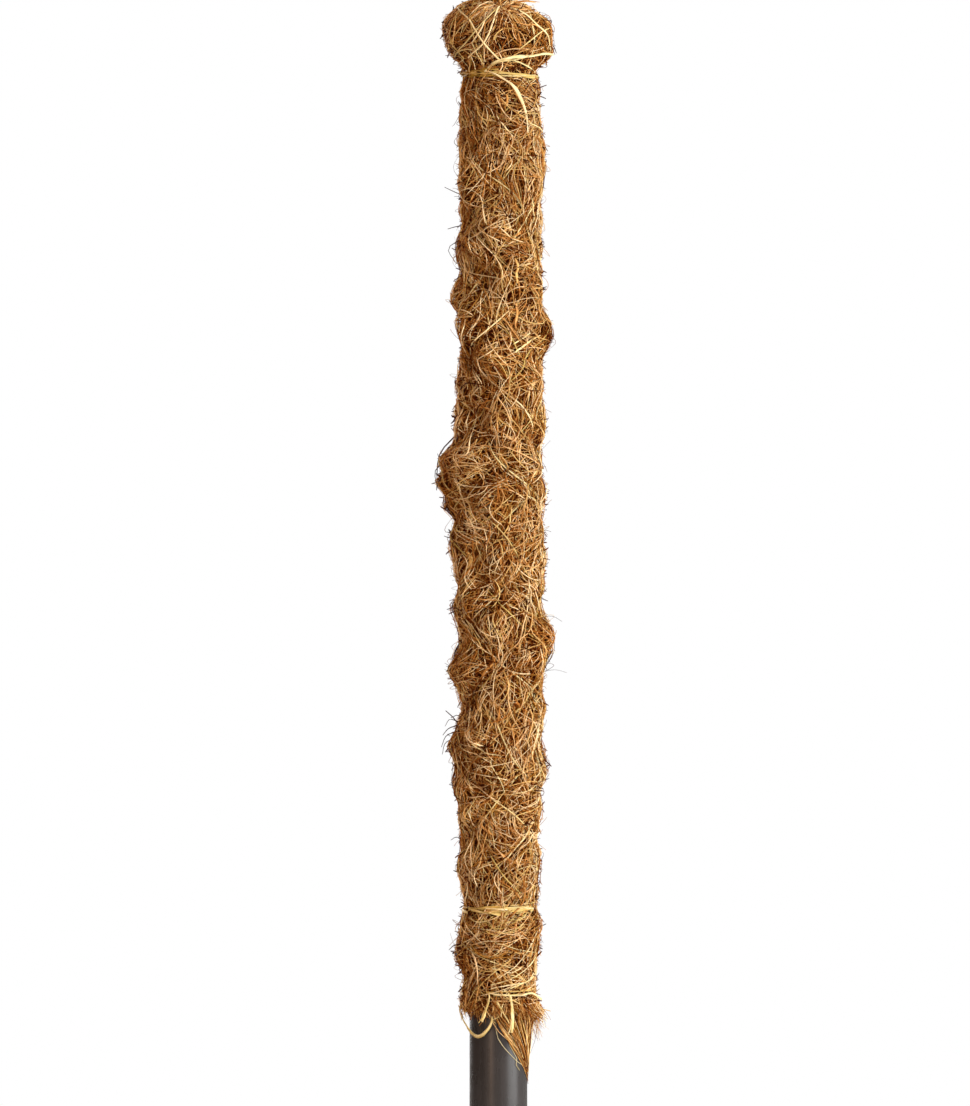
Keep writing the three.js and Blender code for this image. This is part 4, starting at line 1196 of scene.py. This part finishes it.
def put(name, data, place, aim):
    """Puts a lamp or a camera at a place, turned to what it aims at."""
    thing = bpy.data.objects.new(name, data)
    thing.location = place
    thing.rotation_euler = (Vector(aim) - Vector(place)).to_track_quat("-Z", "Y").to_euler()
    bpy.context.scene.collection.objects.link(thing)
    return thing


def make_stage():
    """Pale floor, soft lamps, and a sky that is white to look at."""
    select_none()
    bpy.ops.mesh.primitive_circle_add(vertices=64, radius=0.6, fill_type="NGON", location=(0, 0, -0.0005))
    floor = bpy.context.object
    floor.name = "studio_floor"
    floor.data.materials.append(floor_finish())
    for name, (place, aim, size, power, colour) in LAMPS.items():
        lamp = bpy.data.lights.new(name, "AREA")
        lamp.shape = "RECTANGLE"
        lamp.size, lamp.size_y = size
        lamp.energy = power
        lamp.color = colour
        put(name, lamp, place, aim)
    world = bpy.data.worlds.new("studio")
    bpy.context.scene.world = world
    world.use_nodes = True
    sky = Nodes(world.node_tree)
    way = sky.place("Generated")
    across = sky.part(way, "X")
    away = sky.part(way, "Y")
    tint = sky.ramp(SKY_STOPS, across * 0.5 + 0.5)
    strength = 0.335 + across * 0.29 - away * 0.1
    soft = sky.node("ShaderNodeBackground", None, {"Color": tint, "Strength": strength})
    white = sky.node("ShaderNodeBackground", None, {"Color": (1, 1, 1, 1), "Strength": 1.0})
    seen = sky.node("ShaderNodeLightPath", None, None, "Is Camera Ray")
    both = sky.node("ShaderNodeMixShader", None, {0: seen, 1: soft, 2: white})
    sky.tree.links.new(both.socket, sky.tree.nodes["World Output"].inputs["Surface"])
    bpy.context.scene.view_settings.view_transform = "Standard"


def make_camera():
    """Nearly level, from far off, framed as the photograph is."""
    aim = Vector((-0.0058, 0.0, 0.363))
    distance = 2.5
    tilt = math.radians(3.0)
    frame_height = 0.4767
    camera = bpy.data.cameras.new("camera")
    camera.sensor_width = 36.0
    camera.lens = 36.0 * distance / frame_height
    place = aim + Vector((0, -math.cos(tilt), math.sin(tilt))) * distance
    bpy.context.scene.camera = put("camera", camera, place, aim)


make_camera()
straw = strand_finish("raffia_straw", STRAW_STOPS, STRAW_TINTS, 0.8, 0.5, 0.6, 0.15)
make_hem_loop(straw)
make_stage()
make_tube(tube_finish())
matted = mat_finish()
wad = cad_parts["crown_wad"]
wad.data.materials.clear()
wad.data.materials.append(matted)
make_mat("coir_mat", float(course_of(HEM_Z + 2.5)), NECK_S, 500, "coir_sleeve", matted)
make_mat("crown_mat", NECK_S + 0.5, COURSE_END - 0.5, 70, "coir_crown", matted)
coir = strand_finish("coir_fibre", COIR_STOPS, COIR_TINTS, 0.5, 0.35, 0.7, 0.03)
fibre = model_strand(3, FIBRE_STEPS - 1)
low = float(course_of(HEM_Z + 6.0))
for seed, (name, layer) in enumerate(LAYERS.items(), 11):
    lay_fibres(f"mat_{name}_fibres", fibre, tufts(seed, layer, low, NECK_S - 1, lump_heading), coir)
    crown = {**layer, **CROWN_LAYER}
    crown["tufts"] = layer["tufts"] // CROWN_SHARE
    crown["tone"] = layer["tone"] - CROWN_DARKER
    fibres = tufts(seed + 10, crown, NECK_S + 3, COURSE_END - 4, gather_heading)
    lay_fibres(f"crown_{name}_fibres", fibre, fibres, coir)
make_gather(fibre, coir)
make_fringe(fibre, coir)
make_wisp(fibre, coir)
make_strays(fibre, coir)
make_fuzz(coir)
make_pith(model_strand(6, FIBRE_STEPS - 1), coir)
thread = strand_finish("binding_thread", STRAW_STOPS, STRAW_TINTS, 0.6, 0.4, 0.65, 0.08)
make_threads(thread)
make_lashings(thread)
make_loose_ends(fibre, thread)
make_ties(straw)
